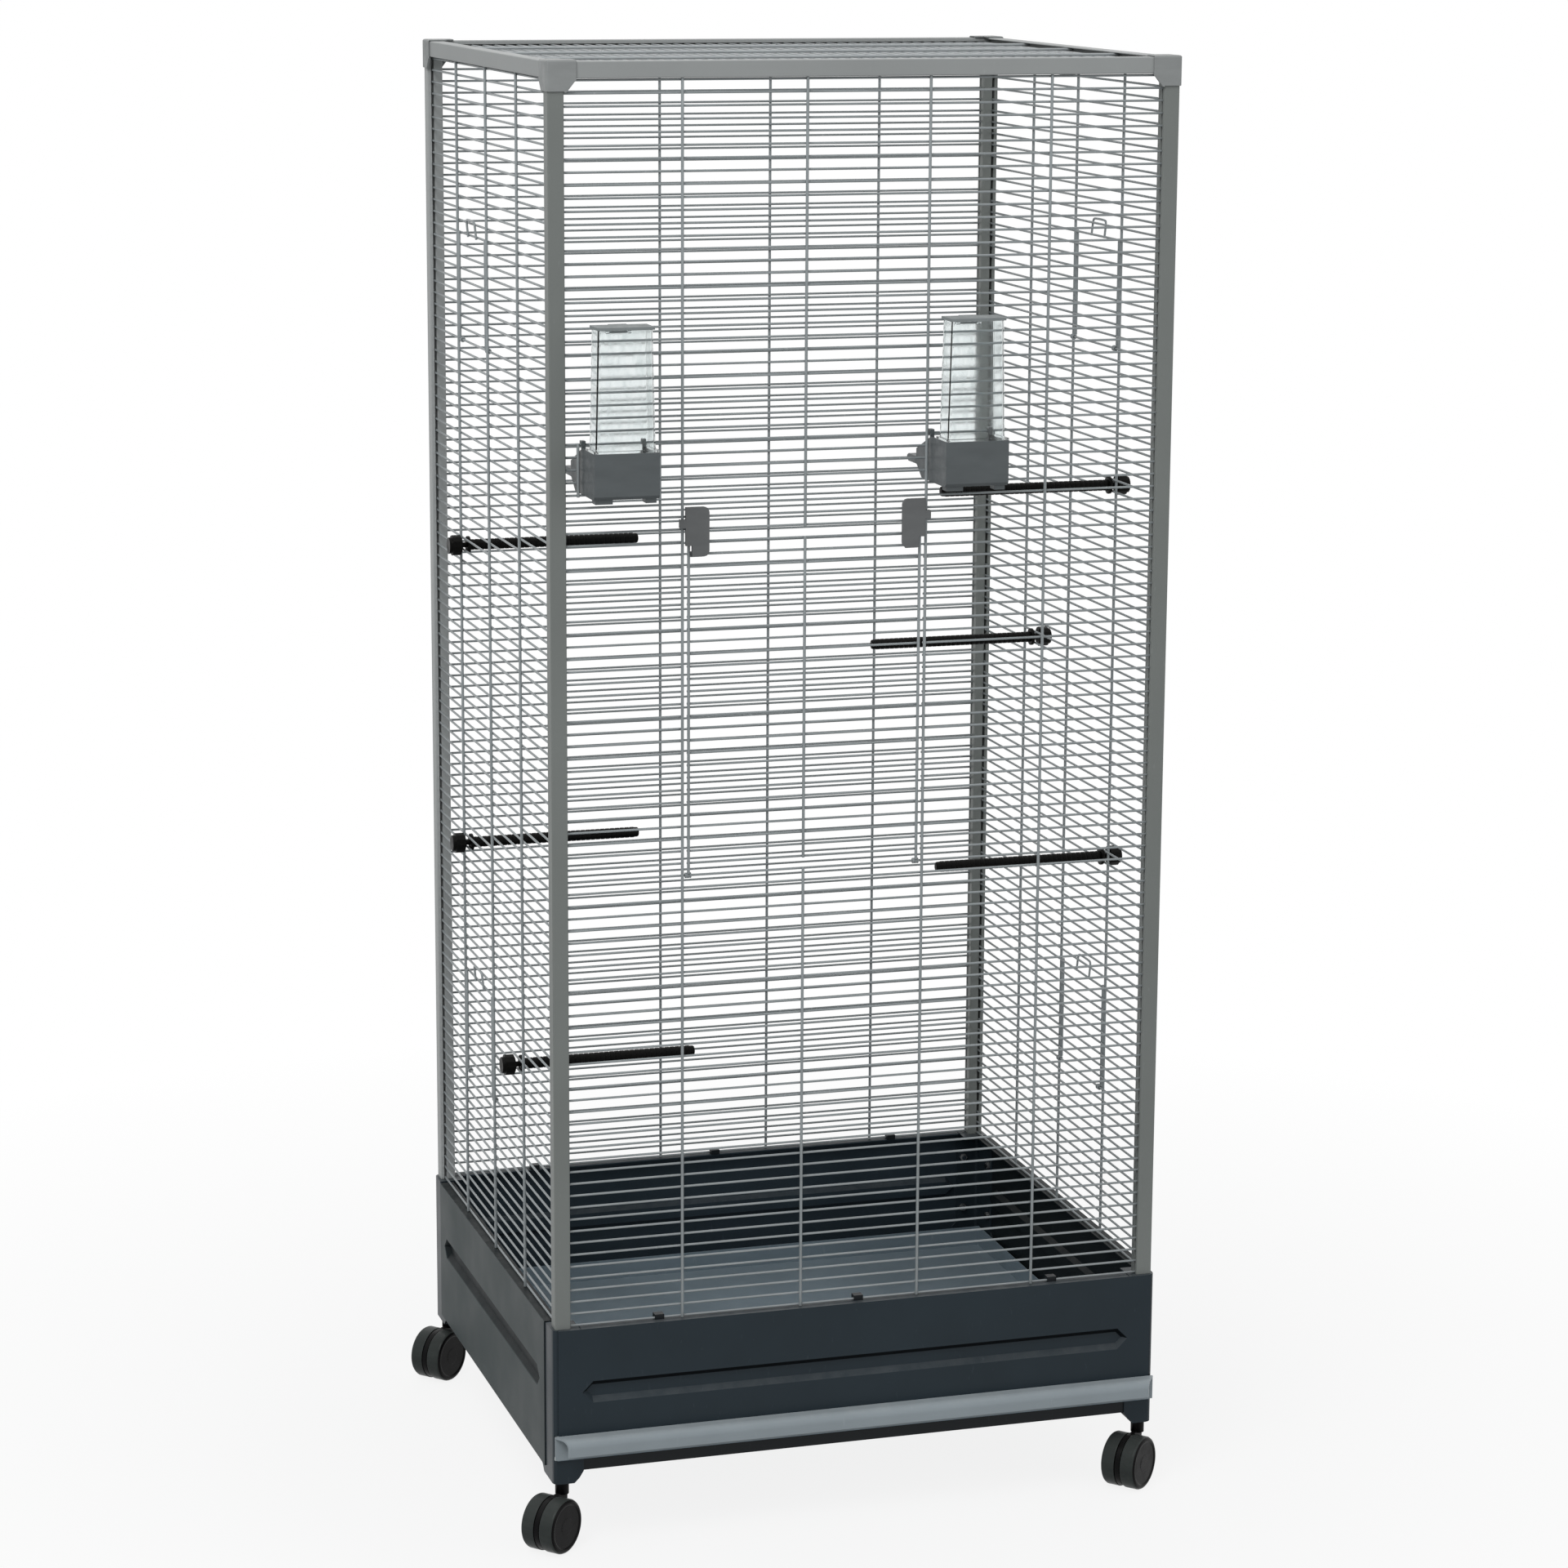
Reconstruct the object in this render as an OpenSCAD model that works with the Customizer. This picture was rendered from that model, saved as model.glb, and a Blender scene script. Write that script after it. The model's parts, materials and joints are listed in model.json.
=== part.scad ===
// Aviary cage on casters: a welded wire cabin in a tube frame, on a sheet base with a slide-out tray.
// +Z up, the front faces -Y. The origin is on the floor, under the middle of the base.

/* [Frame] */
// Width over the corner posts
frame_w = 592; // [480:1:760]
// Depth over the corner posts
frame_d = 500; // [420:1:640]
// Side of the square frame tube
tube = 15; // [14:0.5:18]
// Wall of the frame tube
tube_wall = 1.2; // [0.8:0.1:1.4]
// Width of the room in the tube's side that a wire panel's edge has
groove_w = 5; // [4.9:0.1:6]
// Depth of that groove
groove_deep = 6; // [5:0.5:7]
// How far the corner joints stand proud of the tube
joint_proud = 1.5; // [1:0.1:2.5]

/* [Wire] */
// Thickness of the level wires
wire_d = 2.2; // [1.8:0.1:2.4]
// Thickness of the upright wires
upright_d = 2.8; // [2.2:0.1:2.8]
// Distance from one level wire to the next
wire_pitch = 11.4; // [10:0.1:14]
// Number of gaps between the level wires, from the rim to the top rail
wire_rows = 100; // [92:1:120]
// How far crossing wires sink into each other where they are welded
weld = 0.35; // [0.2:0.05:0.5]

/* [Base] */
// How far the base stands out past the posts
base_proud = 4; // [3:0.5:8]
// Thickness of the base sheet
sheet = 1.2; // [0.8:0.1:1.6]
// Thickness of the legs
leg_sheet = 1.5; // [1:0.1:2]
// Height of the front panel, above the tray
front_panel_h = 103; // [90:1:120]
// Height of the tray's slot in the front
slot_h = 24; // [20:0.5:30]
// Height of the rail under that slot
front_rail_h = 12; // [8:0.5:14]
// How far the side and back panels reach below that rail
panel_past = 3; // [2:0.5:8]
// How far the feet reach below the rail
foot_past = 11.5; // [8:0.5:24]
// Width of a leg's arm along the front or back
leg_arm = 30; // [28:0.5:40]
// Width of that arm at the foot
foot_w = 26; // [22:0.5:28]
// Width of a leg's arm along the side
side_arm = 54; // [48:0.5:60]
// Width of that arm at the foot
side_foot = 44; // [34:0.5:48]
// Depth of the pressed rib in the panels
rib_deep = 5; // [2:0.5:6]
// Height of that rib
rib_h = 21; // [14:0.5:30]

/* [Tray] */
// Thickness of the tray's sheet
tray_sheet = 1; // [0.8:0.1:1.5]
// Free space between the tray's back and the back panel
tray_back_gap = 16; // [8:1:40]
// How far the tray's pull stands out
pull_deep = 16; // [12:0.5:22]
// Height of the pull's lip
pull_lip_h = 16; // [12:0.5:20]

/* [Doors] */
// Space between a door's side wire and the upright next to it, centre to centre
door_gap = 5.8; // [5:0.1:8]
// Level wire that the front door hinges on
door_row_low = 37; // [30:1:40]
// Level wire above the front door
door_row_high = 65; // [55:1:66]
// Level wires below the side doors
side_row_low = 13; // [10:1:16]
// Height of a side door, in gaps
side_door_rows = 10; // [8:1:12]
// Width of a door latch
latch_w = 22; // [20:0.5:30]
// Height of a door latch
latch_h = 45; // [40:0.5:50]

/* [Perches] */
// Thickness of a perch
perch_d = 11; // [9:0.5:13]
// Length of a perch inside the wires
perch_len = 172; // [120:1:220]
// Thickness of a perch's stud
stud_d = 5; // [4:0.5:6]
// Diameter of a perch's outer knob
knob_d = 20; // [16:0.5:24]

/* [Feeders] */
// Width of a feeder trough
trough_w = 60; // [52:0.5:66]
// Height of the trough
trough_h = 41; // [36:0.5:44]
// How far the trough stands out in front of the wires
trough_out = 44; // [36:0.5:50]
// How far the trough reaches into the cage
trough_in = 36; // [24:0.5:44]
// Wall of the trough
trough_wall = 2; // [1.4:0.1:2.4]
// Width of the clear hopper at its top
hopper_top_w = 50; // [44:0.5:54]
// Depth of the clear hopper
hopper_d = 26; // [22:0.5:30]
// Height of the clear hopper above the trough's rim
hopper_h = 108; // [80:1:140]
// Wall of the hopper
hopper_wall = 1.6; // [1.2:0.1:2]

/* [Casters] */
// Diameter of a caster wheel
wheel_d = 52; // [46:0.5:56]
// Width of one wheel
wheel_w = 15; // [11:0.5:16]
// Height from the floor to the foot that the caster carries
caster_h = 62.5; // [61:0.5:72]
// Distance from the swivel's axis to the axle
trail = 18; // [14:0.5:20]
// Direction that the casters trail in at rest, in degrees from +X
trail_dir = 222; // [0:1:360]
// Diameter of the swivel's stem
stem_d = 8; // [6:0.5:9]
// Diameter of the axle
axle_d = 6; // [5:0.5:8]

/* [Hidden] */
// clearances
seat = 0.3;
run_gap = 0.06;
split_gap = 0.06;
hole_gap = 0.05;
// heights
slot_top = -front_panel_h;
slot_low = slot_top - slot_h;
rail_low = slot_low - front_rail_h;
panel_h = panel_past - rail_low;
leg_h = foot_past - rail_low;
rim_z = caster_h + leg_h;
row_first = 1.5;
mesh_h = wire_rows * wire_pitch + 2 * row_first;
top_z = rim_z + mesh_h;
frame_top = top_z + tube;
function row(k) = row_first + k * wire_pitch;
// base
base_w = frame_w + 2 * base_proud;
base_d = frame_d + 2 * base_proud;
leg_in = sheet + leg_sheet;
front_strip = 6;
side_strip = 32;
flange = 14;
low_flange = 8;
plate = 26;
stem_in = 11.5;
plug_h = 22;
socket_h = 18;
socket_wall = 3;
// tube
web = 1;
tube_round = 1.2;
chamber = tube - groove_deep - web;
chamber_b = tube_wall + groove_w + web;
// wires
upright_y = -(wire_d / 2 + upright_d / 2 - weld);
upright_reach = upright_d / 2 - upright_y;
wire_in = tube_wall + groove_w / 2 + (upright_reach - wire_d / 2) / 2;
front_half = frame_w / 2 - tube + groove_deep - seat;
side_half = frame_d / 2 - tube + groove_deep - seat;
front_col = (frame_w - tube) / 5;
side_col = (frame_d - tube) / 4;
front_ups = [-1.5, -0.5, 0.5, 1.5] * front_col;
side_ups = [-1, 0, 1] * side_col;
upright_top = mesh_h + groove_deep - seat;
level_groove = [wire_in - wire_d / 2 - seat, tube_wall + groove_w];
upright_groove = [tube_wall, wire_in + upright_y + upright_d / 2 + seat];
side_row_high = wire_rows - side_row_low - side_door_rows;
side_doors = [[side_row_low, side_row_low + side_door_rows],
              [side_row_high, side_row_high + side_door_rows]];
// hinge loops and latches
loop_wall = 1.5;
loop_w = 6;
latch_t = 3.5;
latch_round = 5;
latch_row = door_row_high - 2;
latch_y = -(upright_reach + 0.4);
latch_low = row(latch_row) - 1.4;
jaw_z = row(door_row_high) + wire_pitch / 2;
jaw_h = wire_pitch - wire_d - 1.6;
jaw_t = 1.5;
// feeders
window_side = trough_w / 2 + 1.5 + upright_d / 2;
window_low = 68;
window_high = 72;
feeder_from_post = 11.7;
feeder_x = [-frame_w / 2 + tube + feeder_from_post + window_side, front_ups[2] + window_side];
trough_z = row(window_low) + wire_d / 2 + seat;
trough_front = -upright_reach - seat - trough_out;
windows = [[feeder_x[0] - window_side, feeder_x[0] + window_side, window_low, window_high],
           [feeder_x[1] - window_side, feeder_x[1] + window_side, window_low, window_high]];
window_ups = [windows[0][0], windows[0][1], windows[1][1]];
lid_t = 2.5;
// perches: side, level wire below it, distance from the middle of the side
perch_places = [[-1, 59, side_col - 9], [-1, 33, side_col - 9], [-1, 18, -92],
                [1, 65, -side_col + 7], [1, 49, 90], [1, 33, -side_col + 7]];
// casters
axle_z = wheel_d / 2;
fork_w = 5;
fork_heel = 5.5;
wheel_gap = 0.5;
collar_d = 13;

// placing helpers
module flip_x(on) { if (on) mirror([1, 0, 0]) children(); else children(); }
module flip_y(on) { if (on) mirror([0, 1, 0]) children(); else children(); }

// a corner of a w by d rectangle: the children lie inward of it, along +X and +Y
module at_corner(sx, sy, w, d) {
    translate([sx * w / 2, sy * d / 2, 0]) flip_x(sx > 0) flip_y(sy > 0) children();
}

// a wall of the cage: the children's X runs along the wall, -Y is outward, 0 height is the rim
module on_front() { translate([0, -frame_d / 2 + wire_in, rim_z]) children(); }
module on_back() { translate([0, frame_d / 2 - wire_in, rim_z]) rotate([0, 0, 180]) children(); }
module on_left() { translate([-frame_w / 2 + wire_in, 0, rim_z]) rotate([0, 0, -90]) children(); }
module on_right() { translate([frame_w / 2 - wire_in, 0, rim_z]) rotate([0, 0, 90]) children(); }

// outlines with rounded corners, drawn as short straight steps
function corner(cx, cy, r, a0) = [for (i = [0:3]) [cx + r * cos(a0 + 30 * i), cy + r * sin(a0 + 30 * i)]];
function rounded(w, h, r) = concat(corner(w - r, r, r, 270), corner(w - r, h - r, r, 0),
    corner(r, h - r, r, 90), corner(r, r, r, 180));

// frame tube: outer corner at 0,0, with a groove in the face at +X and one in the face at +Y
module tube_outline(groove_x, groove_y) {
    difference() {
        polygon(rounded(tube, tube, tube_round));
        translate([tube_wall, tube_wall]) square(chamber - tube_wall);
        translate([chamber_b, chamber_b]) square(tube - tube_wall - chamber_b);
        translate([tube - groove_deep, groove_x[0]]) square([groove_deep + 1, groove_x[1] - groove_x[0]]);
        translate([groove_y[0], tube - groove_deep]) square([groove_y[1] - groove_y[0], groove_deep + 1]);
    }
}

// wires
module wire_x(x0, x1, y, z, d) {
    translate([x0, y, z]) rotate([0, 90, 0]) cylinder(d = d, h = x1 - x0, $fn = 8);
}
module wire_z(x, y, z0, z1, d) { translate([x, y, z0]) cylinder(d = d, h = z1 - z0, $fn = 8); }

// the ends of the stretches of level wire in one row, with gaps where a window is cut
function stretch_ends(k, half, holes) = concat([-half],
    [for (w = holes) if (k > w[2] && k < w[3]) each [w[0] + upright_d / 2, w[1] - upright_d / 2]], [half]);

module wire_row(k, half, holes) {
    ends = stretch_ends(k, half, holes);
    for (i = [0:2:len(ends) - 2]) wire_x(ends[i], ends[i + 1], 0, row(k), wire_d);
}

// a welded wall panel with door openings between the uprights at xl and xr
module wall_panel(half, ups, xl = 0, xr = 0, doors = [], holes = [], short_ups = []) {
    last = len(doors);
    for (i = [0:last]) {
        low = i == 0 ? 0 : doors[i - 1][1];
        high = i == last ? wire_rows : doors[i][0];
        z0 = i == 0 ? seat : row(low) - wire_pitch / 2 + split_gap / 2;
        z1 = i == last ? upright_top : row(high) + wire_pitch / 2 - split_gap / 2;
        for (k = [low:high]) wire_row(k, half, holes);
        for (x = ups) wire_z(x, upright_y, z0, z1, upright_d);
    }
    for (d = doors) {
        z0 = row(d[0]) + wire_pitch / 2 + split_gap / 2;
        z1 = row(d[1]) - wire_pitch / 2 - split_gap / 2;
        for (k = [d[0] + 1:d[1] - 1]) {
            wire_x(-half, xl + upright_d / 2, 0, row(k), wire_d);
            wire_x(xr - upright_d / 2, half, 0, row(k), wire_d);
        }
        for (x = ups) if (x <= xl || x >= xr) wire_z(x, upright_y, z0, z1, upright_d);
    }
    for (x = short_ups) {
        wire_z(x, upright_y, row(window_low) - upright_d / 2, row(window_high) + upright_d / 2, upright_d);
    }
}

// a sleeve that turns on a level wire
module wire_loop(x, w, d) {
    translate([x, 0, 0]) rotate([0, 90, 0]) difference() {
        cylinder(d = d + 2 * (run_gap + loop_wall), h = w, $fn = 32);
        translate([0, 0, -1]) cylinder(d = d + 2 * run_gap, h = w + 2, $fn = 32);
    }
}

// a drop-down wire door between the uprights xl and xr, hinged on the wire in row low
module wire_door(xl, xr, low, high, middle_ups) {
    x0 = xl + door_gap;
    x1 = xr - door_gap;
    for (k = [low + 1:high - 1]) wire_x(x0 - wire_d / 2, x1 + wire_d / 2, 0, row(k), wire_d);
    for (x = [x0, x1]) {
        wire_z(x, upright_y, row(low) + wire_d * 0.8, row(high - 1) + wire_d / 2, upright_d);
        translate([0, 0, row(low)]) wire_loop(x - loop_w / 2, loop_w, wire_d);
    }
    for (x = middle_ups) {
        wire_z(x, upright_y, row(low + 1) - wire_d / 2, row(high - 1) + wire_d / 2, upright_d);
    }
}

// the wire hook at the top of a side door: two legs that lean out over the panel, and a bar
hook_w = 34;
hook_lean = 6;
hook_h = wire_pitch + 5;
module door_hook(x, high) {
    y0 = -(wire_d - weld);
    for (s = [-1, 1]) {
        translate([x + s * hook_w / 2, y0, row(high - 1)]) rotate([hook_lean, 0, 0]) translate([0, 0, -1.5])
            cylinder(d = wire_d, h = hook_h + 1.5, $fn = 8);
    }
    translate([0, y0 - (hook_h - 1) * sin(hook_lean), row(high - 1) + (hook_h - 1) * cos(hook_lean)])
        wire_x(x - hook_w / 2 - 1, x + hook_w / 2 + 1, 0, 0, wire_d);
}

module front_mesh() {
    color("#8f9598") on_front() wall_panel(front_half, front_ups, front_ups[0], front_ups[2],
        [[door_row_low, door_row_high]], windows, window_ups);
}
module back_mesh() { color("#8f9598") on_back() wall_panel(front_half, front_ups); }
module side_mesh() { wall_panel(side_half, side_ups, side_ups[0], side_ups[1], side_doors); }
module left_mesh() { color("#8f9598") on_left() side_mesh(); }
module right_mesh() { color("#8f9598") on_right() side_mesh(); }

// the roof panel: close wires from front to back, three cross wires above them
top_span = frame_w - 2 * tube;
top_gaps = floor(top_span / wire_pitch) - 1;
module top_mesh() {
    z = frame_top - wire_in;
    color("#8f9598") {
        for (i = [0:top_gaps]) {
            translate([(i - top_gaps / 2) * wire_pitch, -side_half, z]) rotate([-90, 0, 0])
                cylinder(d = wire_d, h = 2 * side_half, $fn = 8);
        }
        for (y = side_ups) wire_x(-front_half, front_half, y, z - upright_y, upright_d);
    }
}

module front_door() {
    color("#8f9598") on_front()
        wire_door(front_ups[0], front_ups[2], door_row_low, door_row_high, [front_ups[1]]);
}
module side_door(i) {
    wire_door(side_ups[0], side_ups[1], side_doors[i][0], side_doors[i][1], []);
    door_hook((side_ups[0] + side_ups[1]) / 2, side_doors[i][1]);
}
module left_door_lower() { color("#8f9598") on_left() side_door(0); }
module left_door_upper() { color("#8f9598") on_left() side_door(1); }
module right_door_lower() { color("#8f9598") on_right() side_door(0); }
module right_door_upper() { color("#8f9598") on_right() side_door(1); }

// the flip latch at a top corner of the front door, drawn for the left one:
// a rounded plate on a knuckle that turns on the door's second wire, with a jaw over the upright
latch_edge = upright_d / 2 + 0.5;
knuckle_in = door_gap + upright_d / 2 + 0.6;
knuckle_w = latch_w + latch_edge - knuckle_in - latch_round;
latch_notch = 10;
module latch(x_up) {
    y0 = latch_y - latch_t;
    difference() {
        translate([x_up + latch_edge, latch_y, latch_low]) rotate([90, 0, 0]) linear_extrude(latch_t)
            polygon(concat([[0, 0]], corner(latch_w - latch_round, latch_round, latch_round, 270),
                corner(latch_w - latch_round, latch_h - latch_round, latch_round, 0), [[0, latch_h]]));
        translate([x_up, y0 - 1, latch_low - 1]) cube([knuckle_in, latch_t + 2, latch_notch + 1]);
    }
    translate([0, 0, row(latch_row)]) {
        wire_loop(x_up + knuckle_in, knuckle_w, wire_d);
        translate([x_up + knuckle_in, latch_y - 0.5, -1])
            cube([knuckle_w, 0.5 - latch_y - wire_d / 2 - run_gap - 0.3, 2]);
    }
    jaw_half = upright_d / 2 + seat + jaw_t;
    translate([x_up - jaw_half, y0, jaw_z - jaw_h / 2]) {
        cube([2 * jaw_half, latch_t, jaw_h]);
        for (x = [0, 2 * jaw_half - jaw_t])
            translate([x, latch_t - 0.5, 0]) cube([jaw_t, upright_reach - 0.6, jaw_h]);
    }
}
module door_latch_left() { color("#5c6262") on_front() latch(front_ups[0]); }
module door_latch_right() {
    color("#5c6262") on_front()
        translate([front_ups[0] + front_ups[2], 0, 0]) mirror([1, 0, 0]) latch(front_ups[0]);
}

// posts and top rails
module post(sx, sy) {
    color("#74797a") at_corner(sx, sy, frame_w, frame_d)
        translate([0, 0, rim_z]) linear_extrude(mesh_h) tube_outline(level_groove, level_groove);
}
module post_front_left() { post(-1, -1); }
module post_front_right() { post(1, -1); }
module post_back_left() { post(-1, 1); }
module post_back_right() { post(1, 1); }

// a top rail along X: its outer corner is the upper front edge, and one groove takes the roof's wires
module rail(len, roof_groove) {
    color("#86888a") translate([-len / 2, 0, frame_top]) rotate([90, 0, 90]) mirror([0, 1, 0])
        linear_extrude(len) tube_outline(roof_groove, upright_groove);
}
module long_rail() { rail(frame_w - 2 * tube, level_groove); }
module short_rail() { rail(frame_d - 2 * tube, upright_groove); }
module top_rail_front() { translate([0, -frame_d / 2, 0]) long_rail(); }
module top_rail_back() { translate([0, frame_d / 2, 0]) rotate([0, 0, 180]) long_rail(); }
module top_rail_left() { translate([-frame_w / 2, 0, 0]) rotate([0, 0, -90]) short_rail(); }
module top_rail_right() { translate([frame_w / 2, 0, 0]) rotate([0, 0, 90]) short_rail(); }

// three-way corner joint: a rounded block, plugs into the three tubes, and outer cheeks
joint_round = 2.5;
cheek = 11;
cheek_past = 2;
cheek_in = 0.1;
gusset_x = 10;
gusset_z = 12;
gusset_in = 1.1;
plug = chamber - tube_wall - 0.4;
function bent_corner(s, r) = concat(corner(r, r, r, 180), [[s, 0], [s, s], [0, s]]);
module joint_arm() {
    p = joint_proud;
    far = tube + cheek_past;
    rounded_end = corner(joint_round, joint_round, joint_round, 180);
    linear_extrude(cheek) polygon(concat([for (c = rounded_end) c - [p, p]],
        [[far, -p], [far, -cheek_in], [-cheek_in, -cheek_in], [-cheek_in, far], [-p, far]]));
    translate([tube_wall + 0.2, tube_wall + 0.2, 0]) cube([plug, plug, plug_h]);
}
module joint_block(s) {
    outline = bent_corner(s, joint_round);
    intersection() {
        linear_extrude(s) polygon(outline);
        translate([0, s, s]) rotate([90, 90, 0]) linear_extrude(s) polygon(outline);
        translate([0, 0, s]) rotate([0, 90, 0]) linear_extrude(s) polygon(outline);
    }
}
module gusset() {
    near = tube + cheek_in;
    translate([0, gusset_in, top_z]) rotate([90, 0, 0]) linear_extrude(gusset_in + joint_proud)
        polygon([[near, -cheek_in], [tube + gusset_x, -cheek_in], [tube + gusset_x, -cheek_past],
            [tube + cheek_past, -gusset_z], [near, -gusset_z]]);
}
module corner_joint() {
    p = joint_proud;
    translate([-p, -p, top_z]) joint_block(tube + p);
    translate([0, 0, top_z]) mirror([0, 0, 1]) joint_arm();
    translate([tube, 0, frame_top]) rotate([0, 90, 0]) joint_arm();
    translate([0, tube, frame_top]) rotate([-90, 0, 0]) joint_arm();
    gusset();
    mirror([1, -1, 0]) gusset();
}
module corner_joints() {
    color("#808486") for (sx = [-1, 1], sy = [-1, 1]) at_corner(sx, sy, frame_w, frame_d) corner_joint();
}

// leg: an angle with a round bend and a foot, a top plate with a plug for the post, a socket for the caster
foot_round = 5;
leg_bend = 6;
bend_mid = sheet + leg_bend;
module leg_bend_wall() {
    inside = corner(bend_mid, bend_mid, leg_bend - leg_sheet, 180);
    linear_extrude(leg_h - sheet)
        polygon(concat(corner(bend_mid, bend_mid, leg_bend, 180), [for (i = [3:-1:0]) inside[i]]));
}
module leg_bend_cut() {
    linear_extrude(leg_h + 2)
        polygon(concat([[0, 0], [0, bend_mid]], corner(bend_mid, bend_mid, leg_bend, 180), [[bend_mid, 0]]));
}
module leg_arm_plate(up_w, arm_w, low_w) {
    linear_extrude(leg_sheet) polygon([[sheet, -sheet], [up_w, -sheet], [up_w, slot_top],
        [arm_w, slot_top - arm_w + up_w], [arm_w, rail_low], [low_w, foot_round - leg_h],
        [low_w - foot_round, -leg_h], [sheet, -leg_h]]);
}
module leg(sx, sy) {
    low = -leg_h;
    plug_in = base_proud + tube_wall + 0.2;
    color("#3a4247") translate([0, 0, rim_z]) at_corner(sx, sy, base_w, base_d) difference() {
        union() {
            translate([0, leg_in, 0]) rotate([90, 0, 0])
                leg_arm_plate(stud_front + stud_edge, leg_arm, foot_w);
            translate([sheet, 0, 0]) rotate([90, 0, 90])
                leg_arm_plate(stud_side + stud_edge, side_arm, side_foot);
            translate([0, 0, low]) leg_bend_wall();
            translate([sheet, sheet, -sheet]) cube([plate, plate, sheet]);
            translate([sheet, sheet, low])
                cube([foot_w - foot_round - sheet, side_foot - foot_round - sheet, leg_sheet]);
            translate([stem_in, stem_in, low]) cylinder(d = stem_d + 2 * socket_wall, h = socket_h, $fn = 48);
            translate([plug_in, plug_in, -sheet]) cube([plug, plug, plug_h]);
        }
        translate([stem_in, stem_in, low - 1]) cylinder(d = stem_d + 2 * run_gap, h = socket_h + 2, $fn = 48);
        translate([0, 0, low - 1]) leg_bend_cut();
        if (sy < 0) translate([leg_in, -1, slot_low - 0.5]) cube([leg_arm, bend_mid + 2, slot_h + 1]);
        for (p = studs) at_stud(p) cylinder(d = stud_hole, h = leg_in * 2, $fn = 24);
    }
}
module leg_front_left() { leg(-1, -1); }
module leg_front_right() { leg(1, -1); }
module leg_back_left() { leg(-1, 1); }
module leg_back_right() { leg(1, 1); }

// threaded studs behind each panel hold it to the legs: place along the leg's arm, height, which arm
stud_size = 4;
stud_hole = stud_size + 0.6;
stud_len = 6;
stud_front = 19;
stud_side = side_strip + 8;
stud_edge = 7;
stud_high = -30;
stud_low = slot_top + 17;
nut_af = 7;
nut_h = 3.2;
studs = [[stud_front, stud_high, 0], [stud_front, stud_low, 0],
         [stud_side, stud_high, 1], [stud_side, stud_low, 1]];
module at_stud(p) {
    if (p[2] == 0) translate([p[0], sheet, p[1]]) rotate([-90, 0, 0]) children();
    else translate([sheet, p[0], p[1]]) rotate([0, 90, 0]) children();
}
module stud_nut() {
    translate([0, 0, leg_sheet]) difference() {
        cylinder(d = nut_af / cos(30), h = nut_h, $fn = 6);
        translate([0, 0, -1]) cylinder(d = stud_size + 2 * hole_gap, h = nut_h + 2, $fn = 32);
    }
}
module base_nuts() {
    color("#9aa0a2") translate([0, 0, rim_z])
        for (sx = [-1, 1], sy = [-1, 1]) at_corner(sx, sy, base_w, base_d)
        for (p = studs) at_stud(p) stud_nut();
}

// pressed rib: a long hexagon with sloping sides, grown by `grow` for the bulge behind it
function hexagon(h, r) = [[-h, -r], [h, -r], [h + r, 0], [h, r], [-h, r], [-h - r, 0]];
module rib(half, z, grow) {
    r = rib_h / 2 + grow;
    deep = rib_deep + grow;
    translate([0, 0, z]) rotate([-90, 0, 0]) hull() {
        linear_extrude(0.01) polygon(hexagon(half, r));
        translate([0, 0, deep - 0.01]) linear_extrude(0.01) polygon(hexagon(half, r - rib_deep));
    }
}
module rib_mouth(half, z) {
    translate([0, 0, z]) rotate([-90, 0, 0]) linear_extrude(1.005) polygon(hexagon(half, rib_h / 2));
}

// a base panel: a sheet with inward flanges, in a frame with its outer face at y = 0 and the rim at z = 0
rib_up = 41;
rib_z = slot_top + rib_up;
module base_panel(full_half, strip, h, rib_half, stud_x, arm_w) {
    half = full_half - strip;
    top_half = full_half - max(strip, plate + sheet + 1);
    low_half = full_half - arm_w - 1;
    difference() {
        union() {
            translate([-half, 0, -h]) cube([2 * half, sheet, h]);
            translate([-top_half, 0, -sheet]) cube([2 * top_half, flange, sheet]);
            translate([-low_half, 0, -h]) cube([2 * low_half, low_flange, sheet]);
            rib(rib_half, rib_z, sheet);
        }
        translate([0, -1, 0]) rib_mouth(rib_half, rib_z);
        rib(rib_half, rib_z, 0);
    }
    for (s = [-1, 1], z = [stud_high, stud_low]) translate([s * (full_half - stud_x), sheet - 0.3, z])
        rotate([-90, 0, 0]) cylinder(d = stud_size, h = stud_len + 0.3, $fn = 32);
}
rib_end = rib_h / 2 + sheet;
front_rib = base_w / 2 - stud_front - stud_edge - rib_end - 1.5;
side_rib = base_d / 2 - stud_side - stud_edge - rib_end - 1.5;
module base_front_panel() {
    color("#2d353a") translate([0, -base_d / 2, rim_z])
        base_panel(base_w / 2, front_strip, front_panel_h, front_rib, stud_front, leg_arm);
}
module base_back_panel() {
    color("#2d353a") translate([0, base_d / 2, rim_z]) rotate([0, 0, 180])
        base_panel(base_w / 2, front_strip, panel_h, front_rib, stud_front, leg_arm);
}
module base_left_panel() {
    color("#454b4c") translate([-base_w / 2, 0, rim_z]) rotate([0, 0, -90])
        base_panel(base_d / 2, side_strip, panel_h, side_rib, stud_side, side_arm);
}
module base_right_panel() {
    color("#454b4c") translate([base_w / 2, 0, rim_z]) rotate([0, 0, 90])
        base_panel(base_d / 2, side_strip, panel_h, side_rib, stud_side, side_arm);
}

// rail under the tray's slot, fixed behind the front legs
module lower_front_rail() {
    half = base_w / 2 - bend_mid - 1;
    rim_half = base_w / 2 - leg_in - 1 - leg_arm;
    color("#23292c") translate([0, -base_d / 2 + leg_in, rim_z + rail_low]) {
        translate([-half, 0, 0]) cube([2 * half, sheet, front_rail_h]);
        for (z = [0, front_rail_h - sheet]) translate([-rim_half, 0, z]) cube([2 * rim_half, 12, sheet]);
    }
}

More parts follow.
